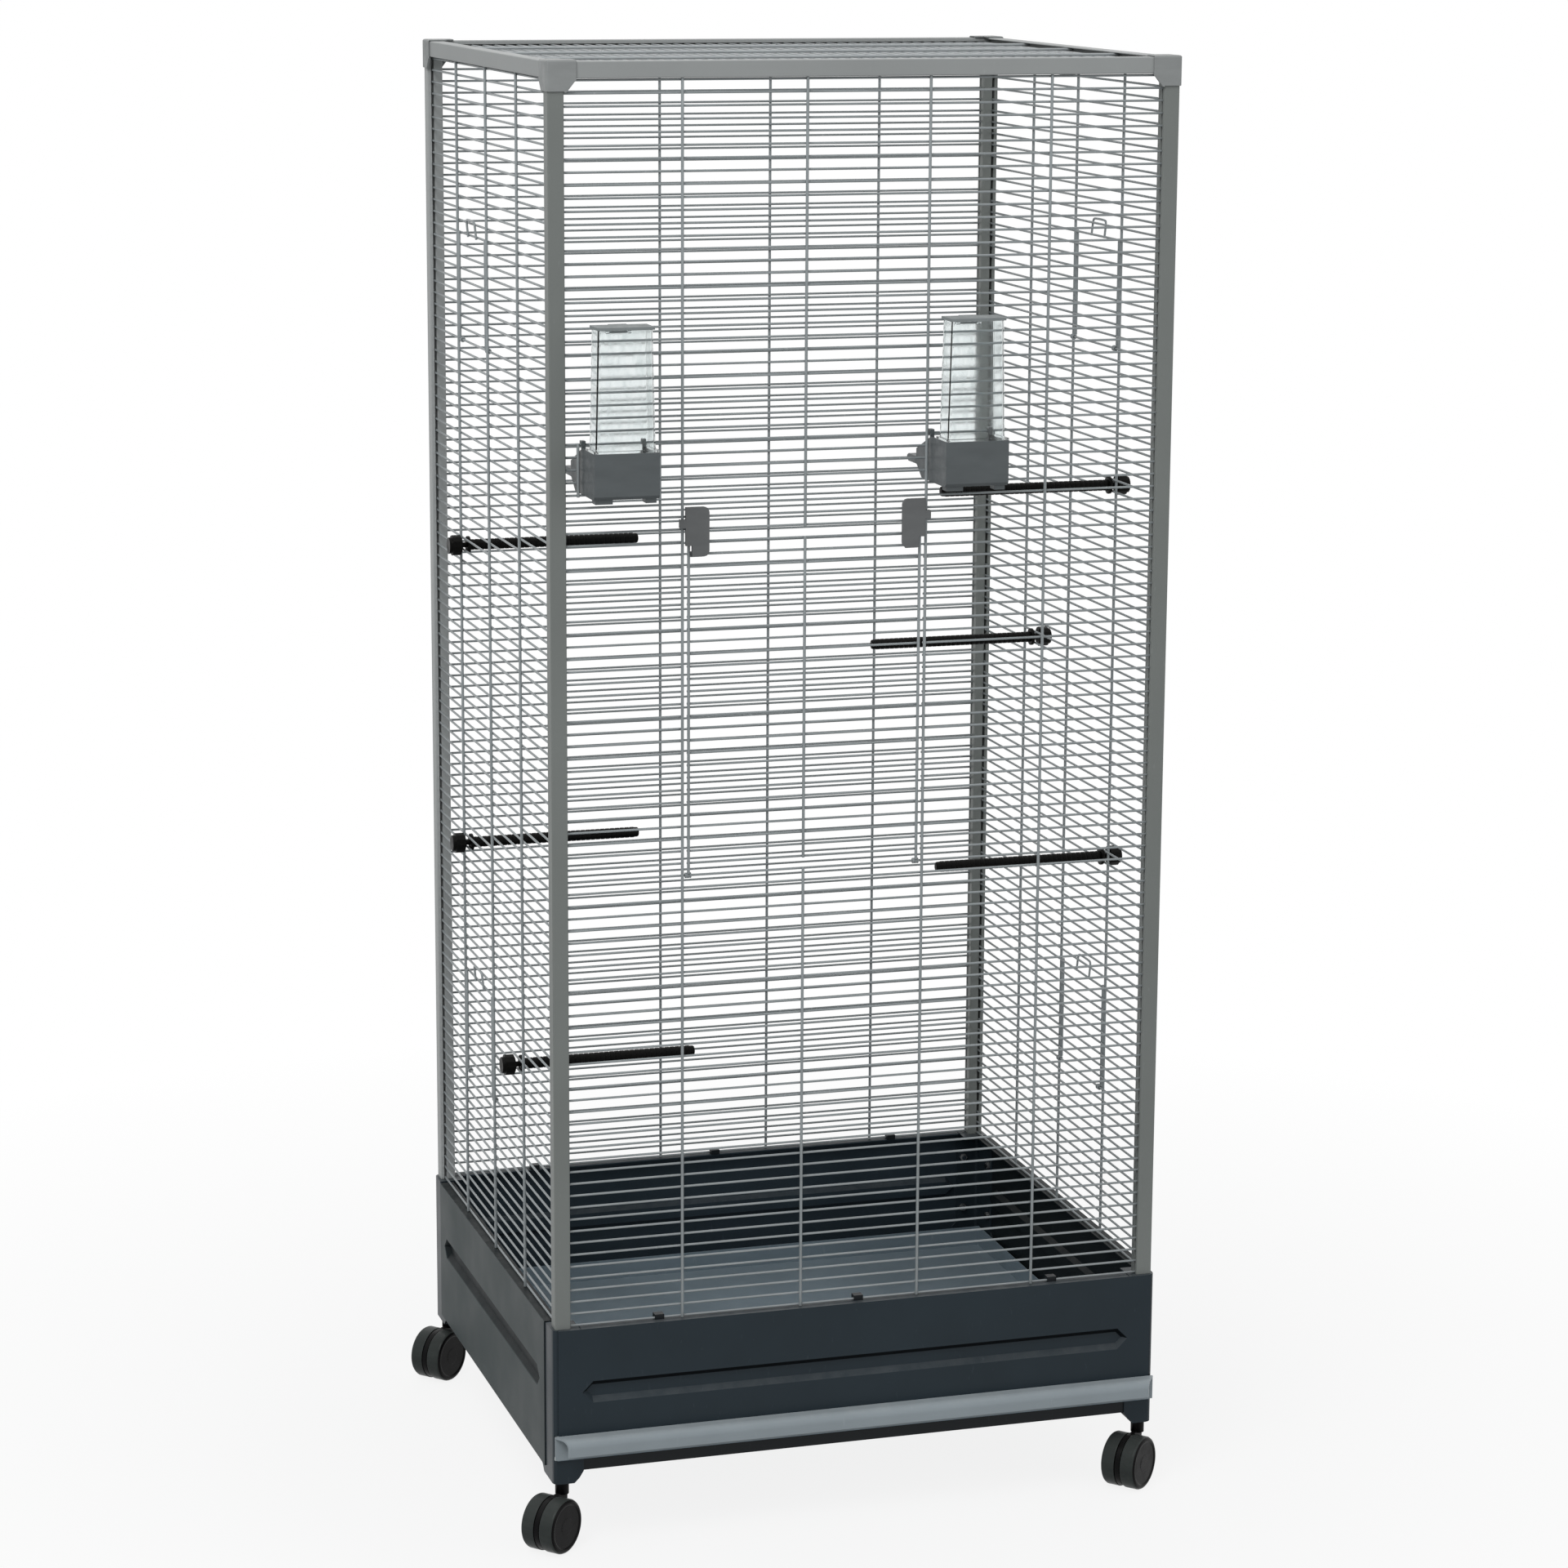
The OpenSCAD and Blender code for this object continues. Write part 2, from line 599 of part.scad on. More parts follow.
// the tray slides on two ledges fixed to the side panels
ledge = 14;
runner_h = 12;
runner_half = base_d / 2 - side_arm - 1;
module tray_runner() {
    translate([-base_w / 2 + sheet, -runner_half, rim_z + slot_low - sheet]) {
        cube([sheet, 2 * runner_half, runner_h]);
        cube([ledge, 2 * runner_half, sheet]);
    }
}
module tray_runners() { color("#3a4247") for (s = [0, 1]) flip_x(s == 1) tray_runner(); }

// tray: an open pan, its front wall in the plane of the front panel
tray_low = slot_low + seat;
tray_top = slot_top - 2;
tray_half = base_w / 2 - leg_in - 2;
tray_front = -base_d / 2 - seat;
tray_back = base_d / 2 - tray_back_gap;
module tray_pan() {
    l = tray_back - tray_front;
    h = tray_top - tray_low;
    t = tray_sheet;
    color("#6d777b") translate([-tray_half, tray_front, rim_z + tray_low]) difference() {
        cube([2 * tray_half, l, h]);
        translate([t, t, t]) cube([2 * (tray_half - t), l - 2 * t, h]);
        for (x = rivet_x) translate([tray_half + x, 0, pull_mid - tray_low]) rotate([90, 0, 0])
            cylinder(d = rivet_d + 2 * hole_gap, h = 10, center = true, $fn = 24);
    }
}

// tray pull: a back flange, a top web and a rounded lip, cut back on the slant towards its front
pull_top = slot_top + 0.5;
pull_mid = slot_top - slot_h / 2;
pull_half = base_w / 2 - 2;
pull_sheet = 1.5;
pull_round = 8;
pull_cut = 10;
rivet_d = 4;
rivet_x = [-220, -75, 75, 220];
function pull_curve(r) = [for (i = [0:5])
    [-pull_deep + pull_round - r * sin(18 * i), -pull_round + r * cos(18 * i)]];
module pull_outline() {
    inner = pull_round - pull_sheet;
    low = -pull_lip_h;
    polygon(concat([[0, 0]], pull_curve(pull_round), [[-pull_deep, low], [-pull_deep + pull_sheet, low]],
        [for (i = [5:-1:0]) pull_curve(inner)[i]],
        [[-pull_sheet, -pull_sheet], [-pull_sheet, -slot_h + 1], [0, -slot_h + 1]]));
}
module tray_pull() {
    color("#8d979b") {
        translate([0, tray_front, rim_z + pull_top]) difference() {
            rotate([90, 0, 90]) translate([0, 0, -pull_half]) linear_extrude(2 * pull_half) pull_outline();
            for (s = [0, 1]) flip_x(s == 1) translate([pull_half, 0, -2 * slot_h])
                linear_extrude(3 * slot_h) polygon([[0, -pull_sheet - seat], [-pull_cut, -pull_deep],
                    [-pull_cut, -pull_deep - 1], [1, -pull_deep - 1], [1, -pull_sheet - seat]]);
            for (x = rivet_x) translate([x, 0, pull_mid - pull_top]) rotate([90, 0, 0])
                cylinder(d = rivet_d + 2 * hole_gap, h = 10, center = true, $fn = 24);
        }
        for (x = rivet_x) translate([x, tray_front, rim_z + pull_mid]) rotate([90, 0, 0]) {
            translate([0, 0, -tray_sheet]) cylinder(d = rivet_d, h = tray_sheet + pull_sheet, $fn = 24);
            translate([0, 0, -tray_sheet - 1.2]) cylinder(d = 7, h = 1.2, $fn = 32);
            translate([0, 0, pull_sheet]) cylinder(d = 7, h = 1.2, $fn = 32);
        }
    }
}

// clips on the rim that hold the lowest wire, three in front and three behind
clip_x = [-195, 0, 195];
clip_w = 9;
clip_h = 5;
module rim_clip(x) {
    translate([x - clip_w / 2, -wire_d / 2 - 1, 0]) difference() {
        cube([clip_w, wire_d + 6, clip_h]);
        translate([-1, wire_d / 2 + 1, row_first]) rotate([0, 90, 0])
            cylinder(d = wire_d + 2 * hole_gap, h = clip_w + 2, $fn = 24);
        translate([-1, wire_d / 2 + 1 - wire_d * 0.3, -1]) cube([clip_w + 2, wire_d * 0.6, row_first + 1]);
    }
}
module rim_clips() {
    color("#202426") {
        on_front() for (x = clip_x) rim_clip(x);
        on_back() for (x = clip_x) rim_clip(x);
    }
}

// perch: a turned rod with a flange against the wires, and a stud through them into the outer knob
flange_d = 17;
flange_t = 3;
tip_round = 2;
knob_seat = upright_reach + seat;
knob_len = 13;
perch_stud = knob_seat + wire_d / 2 + knob_len - 3;
module perch_at(i) {
    p = perch_places[i];
    z = row(p[1]) + wire_pitch / 2;
    if (p[0] < 0) on_left() translate([-p[2], 0, z]) rotate([-90, 0, 0]) children();
    else on_right() translate([p[2], 0, z]) rotate([-90, 0, 0]) children();
}
module perch_rod() {
    y0 = wire_d / 2 + 0.2;
    rotate_extrude($fn = 48) translate([0, y0]) polygon([[0, 0], [flange_d / 2 - 0.6, 0],
        [flange_d / 2, 0.6], [flange_d / 2, flange_t - 0.6], [flange_d / 2 - 0.6, flange_t],
        [perch_d / 2, flange_t], [perch_d / 2 - 0.5, perch_len - tip_round],
        [perch_d / 2 - 0.5 - tip_round, perch_len], [0, perch_len]]);
    translate([0, 0, y0 - perch_stud]) cylinder(d = stud_d, h = perch_stud + 1, $fn = 32);
}
module perch_knob() {
    rotate([180, 0, 0]) translate([0, 0, knob_seat]) difference() {
        union() {
            cylinder(d = knob_d * 0.78, h = knob_len, $fn = 48);
            translate([0, 0, 1]) cylinder(d = knob_d, h = knob_len - 4, $fn = 12);
        }
        translate([0, 0, -1]) cylinder(d = stud_d + 2 * hole_gap, h = knob_len - 1, $fn = 32);
    }
}
module perch_left_top() { color("#17191a") perch_at(0) perch_rod(); }
module perch_left_middle() { color("#17191a") perch_at(1) perch_rod(); }
module perch_left_bottom() { color("#17191a") perch_at(2) perch_rod(); }
module perch_right_top() { color("#17191a") perch_at(3) perch_rod(); }
module perch_right_middle() { color("#17191a") perch_at(4) perch_rod(); }
module perch_right_bottom() { color("#17191a") perch_at(5) perch_rod(); }
module perch_knobs() { color("#17191a") for (i = [0:len(perch_places) - 1]) perch_at(i) perch_knob(); }

// feeder trough: a scoop that reaches in through its window, with hooks over the wire above
tongue_len = 26;
tongue_root = 6;
tongue_end = tongue_len + tongue_root;
tongue_tip = 4;
tongue_w = 20;
tongue_t = 7;
tongue_z = 11;
hook_t = 2;
trough_hook_w = 4;
inner_rim = trough_h * 0.62;
module trough(fx) {
    w = trough_w;
    t = trough_wall;
    y0 = trough_front;
    y1 = trough_in;
    // side view of the outside and of the cavity, y against z
    over = trough_h + 1;
    outer = [[y0, 3], [y0 + 3, 0], [y1 - 16, 0], [y1, 12], [y1, inner_rim],
             [-upright_reach - seat, trough_h], [y0, trough_h]];
    cavity = [[y0 + t, 3 + t], [y0 + 3 + t, t], [y1 - 16 - t / 2, t], [y1 - t, 12 + t / 2],
              [y1 - t, over], [y0 + t, over]];
    translate([fx, 0, trough_z]) {
        difference() {
            translate([-w / 2, 0, 0]) rotate([90, 0, 90]) linear_extrude(w) polygon(outer);
            translate([-w / 2 + t, 0, 0]) rotate([90, 0, 90]) linear_extrude(w - 2 * t) polygon(cavity);
        }
        // perching tongue inside the cage, and the two feet below
        translate([-w / 2, y1 - tongue_root, tongue_z]) rotate([90, 0, 90]) linear_extrude(tongue_w)
            polygon([[0, 0], [tongue_end - tongue_tip, 0], [tongue_end, tongue_tip / 2],
                [tongue_end, tongue_t - tongue_tip / 2], [tongue_end - tongue_tip, tongue_t], [0, tongue_t]]);
        translate([-w / 2 + 2, y0 + 4, -4]) cube([16, 12, 5]);
        translate([w / 2 - 12, y0 + 4, -4]) cube([10, 12, 5]);
        // hooks over the wire above the window
        z_wire = row(window_high) - trough_z;
        grip = wire_d / 2 + seat;
        for (s = [-1, 1])
            translate([s * (w / 2 - trough_hook_w / 2) - trough_hook_w / 2, -grip - hook_t, 0]) {
            translate([0, 0, trough_h - 8])
                cube([trough_hook_w, hook_t, z_wire - trough_h + 8 + grip + hook_t]);
            translate([0, 0, z_wire + grip]) cube([trough_hook_w, 2 * (grip + hook_t), hook_t]);
            translate([0, 2 * grip + hook_t, z_wire - 2]) cube([trough_hook_w, hook_t, grip + 3]);
        }
    }
}
module feeder_trough_left() { color("#585c5e") on_front() trough(feeder_x[0]); }
module feeder_trough_right() { color("#585c5e") on_front() trough(feeder_x[1]); }

// clear hopper: an open tube that stands in the front of the trough on its rim, with two lid lugs behind
hopper_sink = 9;
hopper_w = trough_w - 2 * trough_wall - 1;
hopper_y = trough_front + trough_wall + 0.4;
hopper_top = trough_z + trough_h + hopper_h;
lug_x = 10;
lug_t = 3;
lug_d = 5;
pin_d = 2.4;
pin_back = 3.2;
pin_y = hopper_y + hopper_d + pin_back;
pin_z = hopper_top - lug_d / 2;
hopper_round = hopper_wall + 1.4;
// the tapered hopper's outside, or its hollow where it is drawn smaller by the wall on each side
module hopper_form(less, over) {
    slice = 0.01;
    low_w = hopper_w - 2 * less;
    top_w = hopper_top_w - 2 * less;
    d = hopper_d - 2 * less;
    r = hopper_round - less;
    translate([-low_w / 2, less, -hopper_sink - over])
        linear_extrude(hopper_sink + over) polygon(rounded(low_w, d, r));
    hull() {
        translate([-low_w / 2, less, -slice]) linear_extrude(slice) polygon(rounded(low_w, d, r));
        translate([-top_w / 2, less, hopper_h - slice]) linear_extrude(slice) polygon(rounded(top_w, d, r));
    }
    if (over > 0)
        translate([-top_w / 2, less, hopper_h - slice]) linear_extrude(over) polygon(rounded(top_w, d, r));
}
module hopper(fx) {
    d = hopper_d;
    translate([fx, hopper_y, trough_z + trough_h]) difference() {
        union() {
            hopper_form(0, 0);
            translate([-trough_w / 2, -trough_wall, seat]) cube([trough_w, d + trough_wall, 2]);
        }
        hopper_form(hopper_wall, 1);
    }
    for (s = [-1, 1]) translate([fx + s * lug_x - lug_t / 2, pin_y, pin_z]) difference() {
        union() {
            rotate([0, 90, 0]) cylinder(d = lug_d, h = lug_t, $fn = 32);
            translate([0, -pin_back - 0.5, -lug_d / 2]) cube([lug_t, pin_back + 0.5, lug_d]);
        }
        translate([-1, 0, 0]) rotate([0, 90, 0]) cylinder(d = pin_d + 2 * run_gap, h = lug_t + 2, $fn = 32);
    }
}
module feeder_hopper_left() { color("#dfe6e6", 0.45) on_front() hopper(feeder_x[0]); }
module feeder_hopper_right() { color("#dfe6e6", 0.45) on_front() hopper(feeder_x[1]); }

// hopper lid, hinged behind its back edge on a pin through the hopper's lugs
module lid(fx) {
    knuckle = 2 * (lug_x - lug_t / 2 - seat);
    translate([fx - hopper_top_w / 2 - 1, hopper_y - 1, hopper_top + seat])
        cube([hopper_top_w + 2, hopper_d + 2, lid_t]);
    translate([fx, pin_y, pin_z]) {
        translate([-knuckle / 2, 0, 0]) rotate([0, 90, 0]) cylinder(d = lug_d, h = knuckle, $fn = 32);
        translate([-knuckle / 2, -lug_d / 2, 0]) cube([knuckle, lug_d, lug_d / 2 + seat + lid_t]);
        translate([-lug_x - lug_t / 2, 0, 0]) rotate([0, 90, 0])
            cylinder(d = pin_d, h = 2 * lug_x + lug_t, $fn = 32);
    }
}
module feeder_lid_left() { color("#8b9192") on_front() lid(feeder_x[0]); }
module feeder_lid_right() { color("#8b9192") on_front() lid(feeder_x[1]); }

// casters: a fork with its stem and axle in one piece, and two wheels on the axle
module at_caster(sx, sy) {
    translate([sx * (base_w / 2 - stem_in), sy * (base_d / 2 - stem_in), 0])
        rotate([0, 0, trail_dir]) children();
}
fork_r = wheel_d / 2 - 0.5;
fork_clear = 5;
fork_top = wheel_d / 2 + sqrt(pow(wheel_d / 2, 2) - pow(trail - collar_d / 2, 2)) + 1;
module caster_fork(sx, sy) {
    shank = caster_h - seat;
    color("#141516") at_caster(sx, sy) {
        translate([trail, 0, axle_z]) {
            difference() {
                rotate([90, 0, 0]) cylinder(r = fork_r, h = fork_w, center = true, $fn = 64);
                translate([-fork_r, -fork_w, -wheel_d])
                    cube([2 * fork_r, 2 * fork_w, wheel_d / 2 + fork_clear]);
            }
            rotate([90, 0, 0]) cylinder(d = axle_d, h = fork_w + 2 * wheel_w - 4, center = true, $fn = 32);
        }
        translate([-fork_heel, -fork_w / 2, axle_z]) cube([trail + fork_heel, fork_w, fork_top - axle_z + 1]);
        translate([0, 0, fork_top]) cylinder(d = collar_d, h = shank - fork_top, $fn = 48);
        translate([0, 0, shank - 1]) cylinder(d = stem_d, h = socket_h, $fn = 48);
    }
}
module caster_fork_front_left() { caster_fork(-1, -1); }
module caster_fork_front_right() { caster_fork(1, -1); }
module caster_fork_back_left() { caster_fork(-1, 1); }
module caster_fork_back_right() { caster_fork(1, 1); }

// wheel profile: the axle's bore stops short of the outer face, which has a raised cap in a shallow dish
module wheel(sx, sy, side) {
    r = wheel_d / 2;
    bore = axle_d / 2 + run_gap;
    w = wheel_w;
    color("#17181a") at_caster(sx, sy)
        translate([trail, side * (fork_w / 2 + wheel_gap), axle_z]) rotate([side > 0 ? -90 : 90, 0, 0])
        rotate_extrude($fn = 72) polygon([[bore, 0], [r * 0.42, 0], [r * 0.42, 2], [r * 0.8, 2],
            [r * 0.8, 0], [r - 0.6, 0], [r, 0.6], [r, w - 3], [r - 0.9, w - 1.2], [r - 2.8, w],
            [r * 0.82, w], [r * 0.78, w - 0.8], [r * 0.34, w - 0.8], [r * 0.3, w - 0.4],
            [0, w - 0.4], [0, w - 1.6], [bore, w - 1.6]]);
}
module wheel_front_left_outer() { wheel(-1, -1, 1); }
module wheel_front_left_inner() { wheel(-1, -1, -1); }
module wheel_front_right_outer() { wheel(1, -1, 1); }
module wheel_front_right_inner() { wheel(1, -1, -1); }
module wheel_back_left_outer() { wheel(-1, 1, 1); }
module wheel_back_left_inner() { wheel(-1, 1, -1); }
module wheel_back_right_outer() { wheel(1, 1, 1); }
module wheel_back_right_inner() { wheel(1, 1, -1); }

leg_front_left();
leg_front_right();
leg_back_left();
leg_back_right();
base_front_panel();
base_back_panel();
base_left_panel();
base_right_panel();
lower_front_rail();
tray_runners();
base_nuts();
rim_clips();
tray_pan();
tray_pull();
post_front_left();
post_front_right();
post_back_left();
post_back_right();
top_rail_front();
top_rail_back();
top_rail_left();
top_rail_right();
corner_joints();
front_mesh();
back_mesh();
left_mesh();
right_mesh();
top_mesh();
front_door();
door_latch_left();
door_latch_right();
left_door_lower();
left_door_upper();
right_door_lower();
right_door_upper();
perch_left_top();
perch_left_middle();
perch_left_bottom();
perch_right_top();
perch_right_middle();
perch_right_bottom();
perch_knobs();
feeder_trough_left();
feeder_trough_right();
feeder_hopper_left();
feeder_hopper_right();
feeder_lid_left();
feeder_lid_right();
caster_fork_front_left();
caster_fork_front_right();
caster_fork_back_left();
caster_fork_back_right();
wheel_front_left_outer();
wheel_front_left_inner();
wheel_front_right_outer();
wheel_front_right_inner();
wheel_back_left_outer();
wheel_back_left_inner();
wheel_back_right_outer();
wheel_back_right_inner();
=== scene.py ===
import json
import math
import bpy
from mathutils import Matrix, Vector


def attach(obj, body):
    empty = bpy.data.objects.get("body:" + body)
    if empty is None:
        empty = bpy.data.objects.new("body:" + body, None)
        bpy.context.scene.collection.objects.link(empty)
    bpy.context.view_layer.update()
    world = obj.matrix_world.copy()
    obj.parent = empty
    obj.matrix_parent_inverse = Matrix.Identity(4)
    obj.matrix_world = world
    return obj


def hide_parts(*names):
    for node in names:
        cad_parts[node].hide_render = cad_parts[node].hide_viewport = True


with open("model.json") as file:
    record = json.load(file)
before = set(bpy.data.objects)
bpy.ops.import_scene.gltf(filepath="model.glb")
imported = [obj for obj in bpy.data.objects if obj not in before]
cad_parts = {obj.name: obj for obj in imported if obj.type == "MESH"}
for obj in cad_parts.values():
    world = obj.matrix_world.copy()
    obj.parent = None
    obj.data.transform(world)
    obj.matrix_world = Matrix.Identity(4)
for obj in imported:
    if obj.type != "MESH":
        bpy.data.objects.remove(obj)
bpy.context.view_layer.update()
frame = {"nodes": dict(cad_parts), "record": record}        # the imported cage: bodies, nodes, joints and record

# Aviary cage on casters, dressed for the photograph. Metres, +Z up, the front door faces -Y.

cadNodes = frame["nodes"]

cage = {
    "rimZ": 0.213,        # top of the base
    "width": 0.592,        # over the posts
    "depth": 0.500,
    "tube": 0.015,
    "groove": 0.006,        # depth of the tube's panel groove
    "wireIn": 0.004925,        # from the frame's outer face to the middle of the level wires
    "seat": 0.0003,        # play of a part in its seat
}


# selecting, joining and placing

def deselectAll():
    bpy.ops.object.select_all(action="DESELECT")


def makeActive(obj):
    deselectAll()
    obj.select_set(True)
    bpy.context.view_layer.objects.active = obj


def joinAll(name, parts):
    deselectAll()
    for part in parts:
        part.select_set(True)
    bpy.context.view_layer.objects.active = parts[0]
    if len(parts) > 1:
        bpy.ops.object.join()
    made = bpy.context.view_layer.objects.active
    made.name = name
    made.data.name = name
    return made


def applyPlace(obj):
    makeActive(obj)
    bpy.ops.object.transform_apply(location=True, rotation=True, scale=True)


def moveMesh(obj, matrix):
    applyPlace(obj)
    obj.data.transform(matrix)
    return obj


def addModifier(obj, name, kind, **values):
    makeActive(obj)
    modifier = obj.modifiers.new(name, kind)
    for key, value in values.items():
        setattr(modifier, key, value)
    bpy.ops.object.modifier_apply(modifier=modifier.name)


def repeatAlong(obj, count, step):
    if count > 1:
        addModifier(obj, "repeat", "ARRAY", count=count, use_relative_offset=False, use_constant_offset=True,
                    constant_offset_displace=step)


def smoothEdges(obj, degrees):
    makeActive(obj)
    bpy.ops.object.shade_smooth_by_angle(angle=math.radians(degrees))


smoothBelow = {"wire": 50, "moulded": 40}        # degrees between faces, sharper edges stay sharp


def dress(obj, body, nodeNames, material, smooth, evenFaces=False):
    smoothEdges(obj, smooth)
    if evenFaces:        # broad faces stay flat beside their rounded edges
        addModifier(obj, "evenFaces", "WEIGHTED_NORMAL", keep_sharp=True, weight=80)
    obj.data.materials.clear()
    obj.data.materials.append(material)
    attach(obj, body)
    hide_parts(*nodeNames)
    return obj


# shader building

def linearColour(code):
    parts = [int(code[i:i + 2], 16) / 255 for i in (1, 3, 5)]
    return [p / 12.92 if p <= 0.04045 else ((p + 0.055) / 1.055) ** 2.4 for p in parts] + [1.0]


def addNode(tree, kind, x=0, y=0, **values):
    node = tree.nodes.new(kind)
    node.location = (x, y)
    for key, value in values.items():
        setattr(node, key, value)
    return node


def setInputs(node, **values):
    for key, value in values.items():
        node.inputs[key.replace("_", " ")].default_value = value


def newGroup(name, inputs, outputs):
    tree = bpy.data.node_groups.new(name, "ShaderNodeTree")
    for label, kind, value in inputs:
        socket = tree.interface.new_socket(label, in_out="INPUT", socket_type=kind)
        socket.default_value = value
    for label, kind in outputs:
        tree.interface.new_socket(label, in_out="OUTPUT", socket_type=kind)
    entry = addNode(tree, "NodeGroupInput", -1100, 0)
    leave = addNode(tree, "NodeGroupOutput", 700, 0)
    return tree, entry, leave


def noiseAt(tree, coords, scale, detail, x, y, squeeze=None):
    noise = addNode(tree, "ShaderNodeTexNoise", x, y)
    noise.inputs["Detail"].default_value = detail
    noise.inputs["Roughness"].default_value = 0.6
    if hasattr(scale, "is_output"):
        tree.links.new(scale, noise.inputs["Scale"])
    else:
        noise.inputs["Scale"].default_value = scale
    if squeeze:
        mapping = addNode(tree, "ShaderNodeMapping", x - 200, y)
        mapping.inputs["Scale"].default_value = squeeze
        tree.links.new(coords, mapping.inputs["Vector"])
        coords = mapping.outputs["Vector"]
    tree.links.new(coords, noise.inputs["Vector"])
    return noise.outputs["Fac"]


def spread(tree, value, low, high, x, y, fromLow=0.3, fromHigh=0.7):
    node = addNode(tree, "ShaderNodeMapRange", x, y)
    node.inputs["From Min"].default_value = fromLow
    node.inputs["From Max"].default_value = fromHigh
    for key, amount in (("To Min", low), ("To Max", high)):
        if hasattr(amount, "is_output"):
            tree.links.new(amount, node.inputs[key])
        else:
            node.inputs[key].default_value = amount
    tree.links.new(value, node.inputs["Value"])
    return node.outputs["Result"]


def mixColours(tree, factor, first, second, x, y, blend="MIX"):
    mix = addNode(tree, "ShaderNodeMix", x, y, data_type="RGBA", blend_type=blend)
    tree.links.new(factor, mix.inputs[0])
    for index, colour in ((6, first), (7, second)):        # the colour sockets A and B
        if hasattr(colour, "is_output"):
            tree.links.new(colour, mix.inputs[index])
        else:
            mix.inputs[index].default_value = colour
    return mix.outputs[2]


paintDetail = {        # bands: the part of a noise, or of the upward direction, over which an effect comes in
    "speckScale": 260.0,
    "speckStretch": (1, 1, 0.25),
    "speckBand": (0.66, 0.78),
    "dustColour": (0.62, 0.62, 0.6, 1),
    "dustScale": 60.0,
    "dustBand": (0.5, 1.0),
    "underBand": (-0.6, -0.3),
    "peelDepth": 0.0002,
}


# painted surface: cloudy colour, fine orange peel, rubbed specks, dust on upward faces, shade on downward ones
def buildPaintGroup():
    tree, entry, leave = newGroup("paintedSurface", [
        ("Colour", "NodeSocketColor", (0.5, 0.5, 0.5, 1)),
        ("Rubbed Colour", "NodeSocketColor", (0.7, 0.7, 0.7, 1)),
        ("Cloud Size", "NodeSocketFloat", 9.0),
        ("Cloud Amount", "NodeSocketFloat", 0.08),
        ("Peel Size", "NodeSocketFloat", 900.0),
        ("Peel Height", "NodeSocketFloat", 0.12),
        ("Rubbed Amount", "NodeSocketFloat", 0.25),
        ("Dust Amount", "NodeSocketFloat", 0.12),
        ("Under Shade", "NodeSocketFloat", 0.0),
        ("Smoothest", "NodeSocketFloat", 0.34),
        ("Roughest", "NodeSocketFloat", 0.5),
    ], [("Colour", "NodeSocketColor"), ("Roughness", "NodeSocketFloat"), ("Normal", "NodeSocketVector")])
    link = tree.links.new
    coords = addNode(tree, "ShaderNodeTexCoord", -1100, -300).outputs["Object"]
    cloud = noiseAt(tree, coords, entry.outputs["Cloud Size"], 3, -850, 200)
    shade = addNode(tree, "ShaderNodeMath", -650, 250, operation="MULTIPLY_ADD")
    link(spread(tree, cloud, -1.0, 1.0, -750, 350), shade.inputs[0])
    link(entry.outputs["Cloud Amount"], shade.inputs[1])
    shade.inputs[2].default_value = 1.0
    clouded = addNode(tree, "ShaderNodeVectorMath", -450, 250, operation="SCALE")
    link(entry.outputs["Colour"], clouded.inputs[0])
    link(shade.outputs[0], clouded.inputs["Scale"])
    specks = noiseAt(tree, coords, paintDetail["speckScale"], 2, -850, -50, squeeze=paintDetail["speckStretch"])
    speckMask = spread(tree, specks, 0.0, entry.outputs["Rubbed Amount"], -600, -50, *paintDetail["speckBand"])
    rubbed = mixColours(tree, speckMask, clouded.outputs[0], entry.outputs["Rubbed Colour"], -200, 150)
    facing = addNode(tree, "ShaderNodeSeparateXYZ", -850, -650)
    link(addNode(tree, "ShaderNodeNewGeometry", -1100, -650).outputs["Normal"], facing.inputs[0])
    upward = spread(tree, facing.outputs["Z"], 0.0, entry.outputs["Dust Amount"], -600, -650,
                    *paintDetail["dustBand"])
    powder = addNode(tree, "ShaderNodeMath", -350, -550, operation="MULTIPLY")
    link(upward, powder.inputs[0])
    patches = noiseAt(tree, coords, paintDetail["dustScale"], 4, -850, -450)
    link(spread(tree, patches, 0.3, 1.0, -600, -450), powder.inputs[1])
    dusted = mixColours(tree, powder.outputs[0], rubbed, paintDetail["dustColour"], 100, 100)
    under = spread(tree, facing.outputs["Z"], entry.outputs["Under Shade"], 0.0, -600, -850,
                   *paintDetail["underBand"])
    link(mixColours(tree, under, dusted, (0, 0, 0, 1), 350, 100), leave.inputs["Colour"])
    sheen = spread(tree, cloud, entry.outputs["Smoothest"], entry.outputs["Roughest"], -200, -150)
    link(sheen, leave.inputs["Roughness"])
    peel = noiseAt(tree, coords, entry.outputs["Peel Size"], 1, -850, -250)
    bump = addNode(tree, "ShaderNodeBump", 100, -250)
    bump.inputs["Distance"].default_value = paintDetail["peelDepth"]
    link(entry.outputs["Peel Height"], bump.inputs["Strength"])
    link(peel, bump.inputs["Height"])
    link(bump.outputs["Normal"], leave.inputs["Normal"])
    return tree


plasticDetail = {
    "flowScale": 35.0,
    "flowStretch": (1, 1, 3),
    "dustColour": (0.55, 0.54, 0.52, 1),
    "dustBand": (0.3, 1.0),
    "wearScale": 90.0,
    "grainDepth": 0.0001,
}


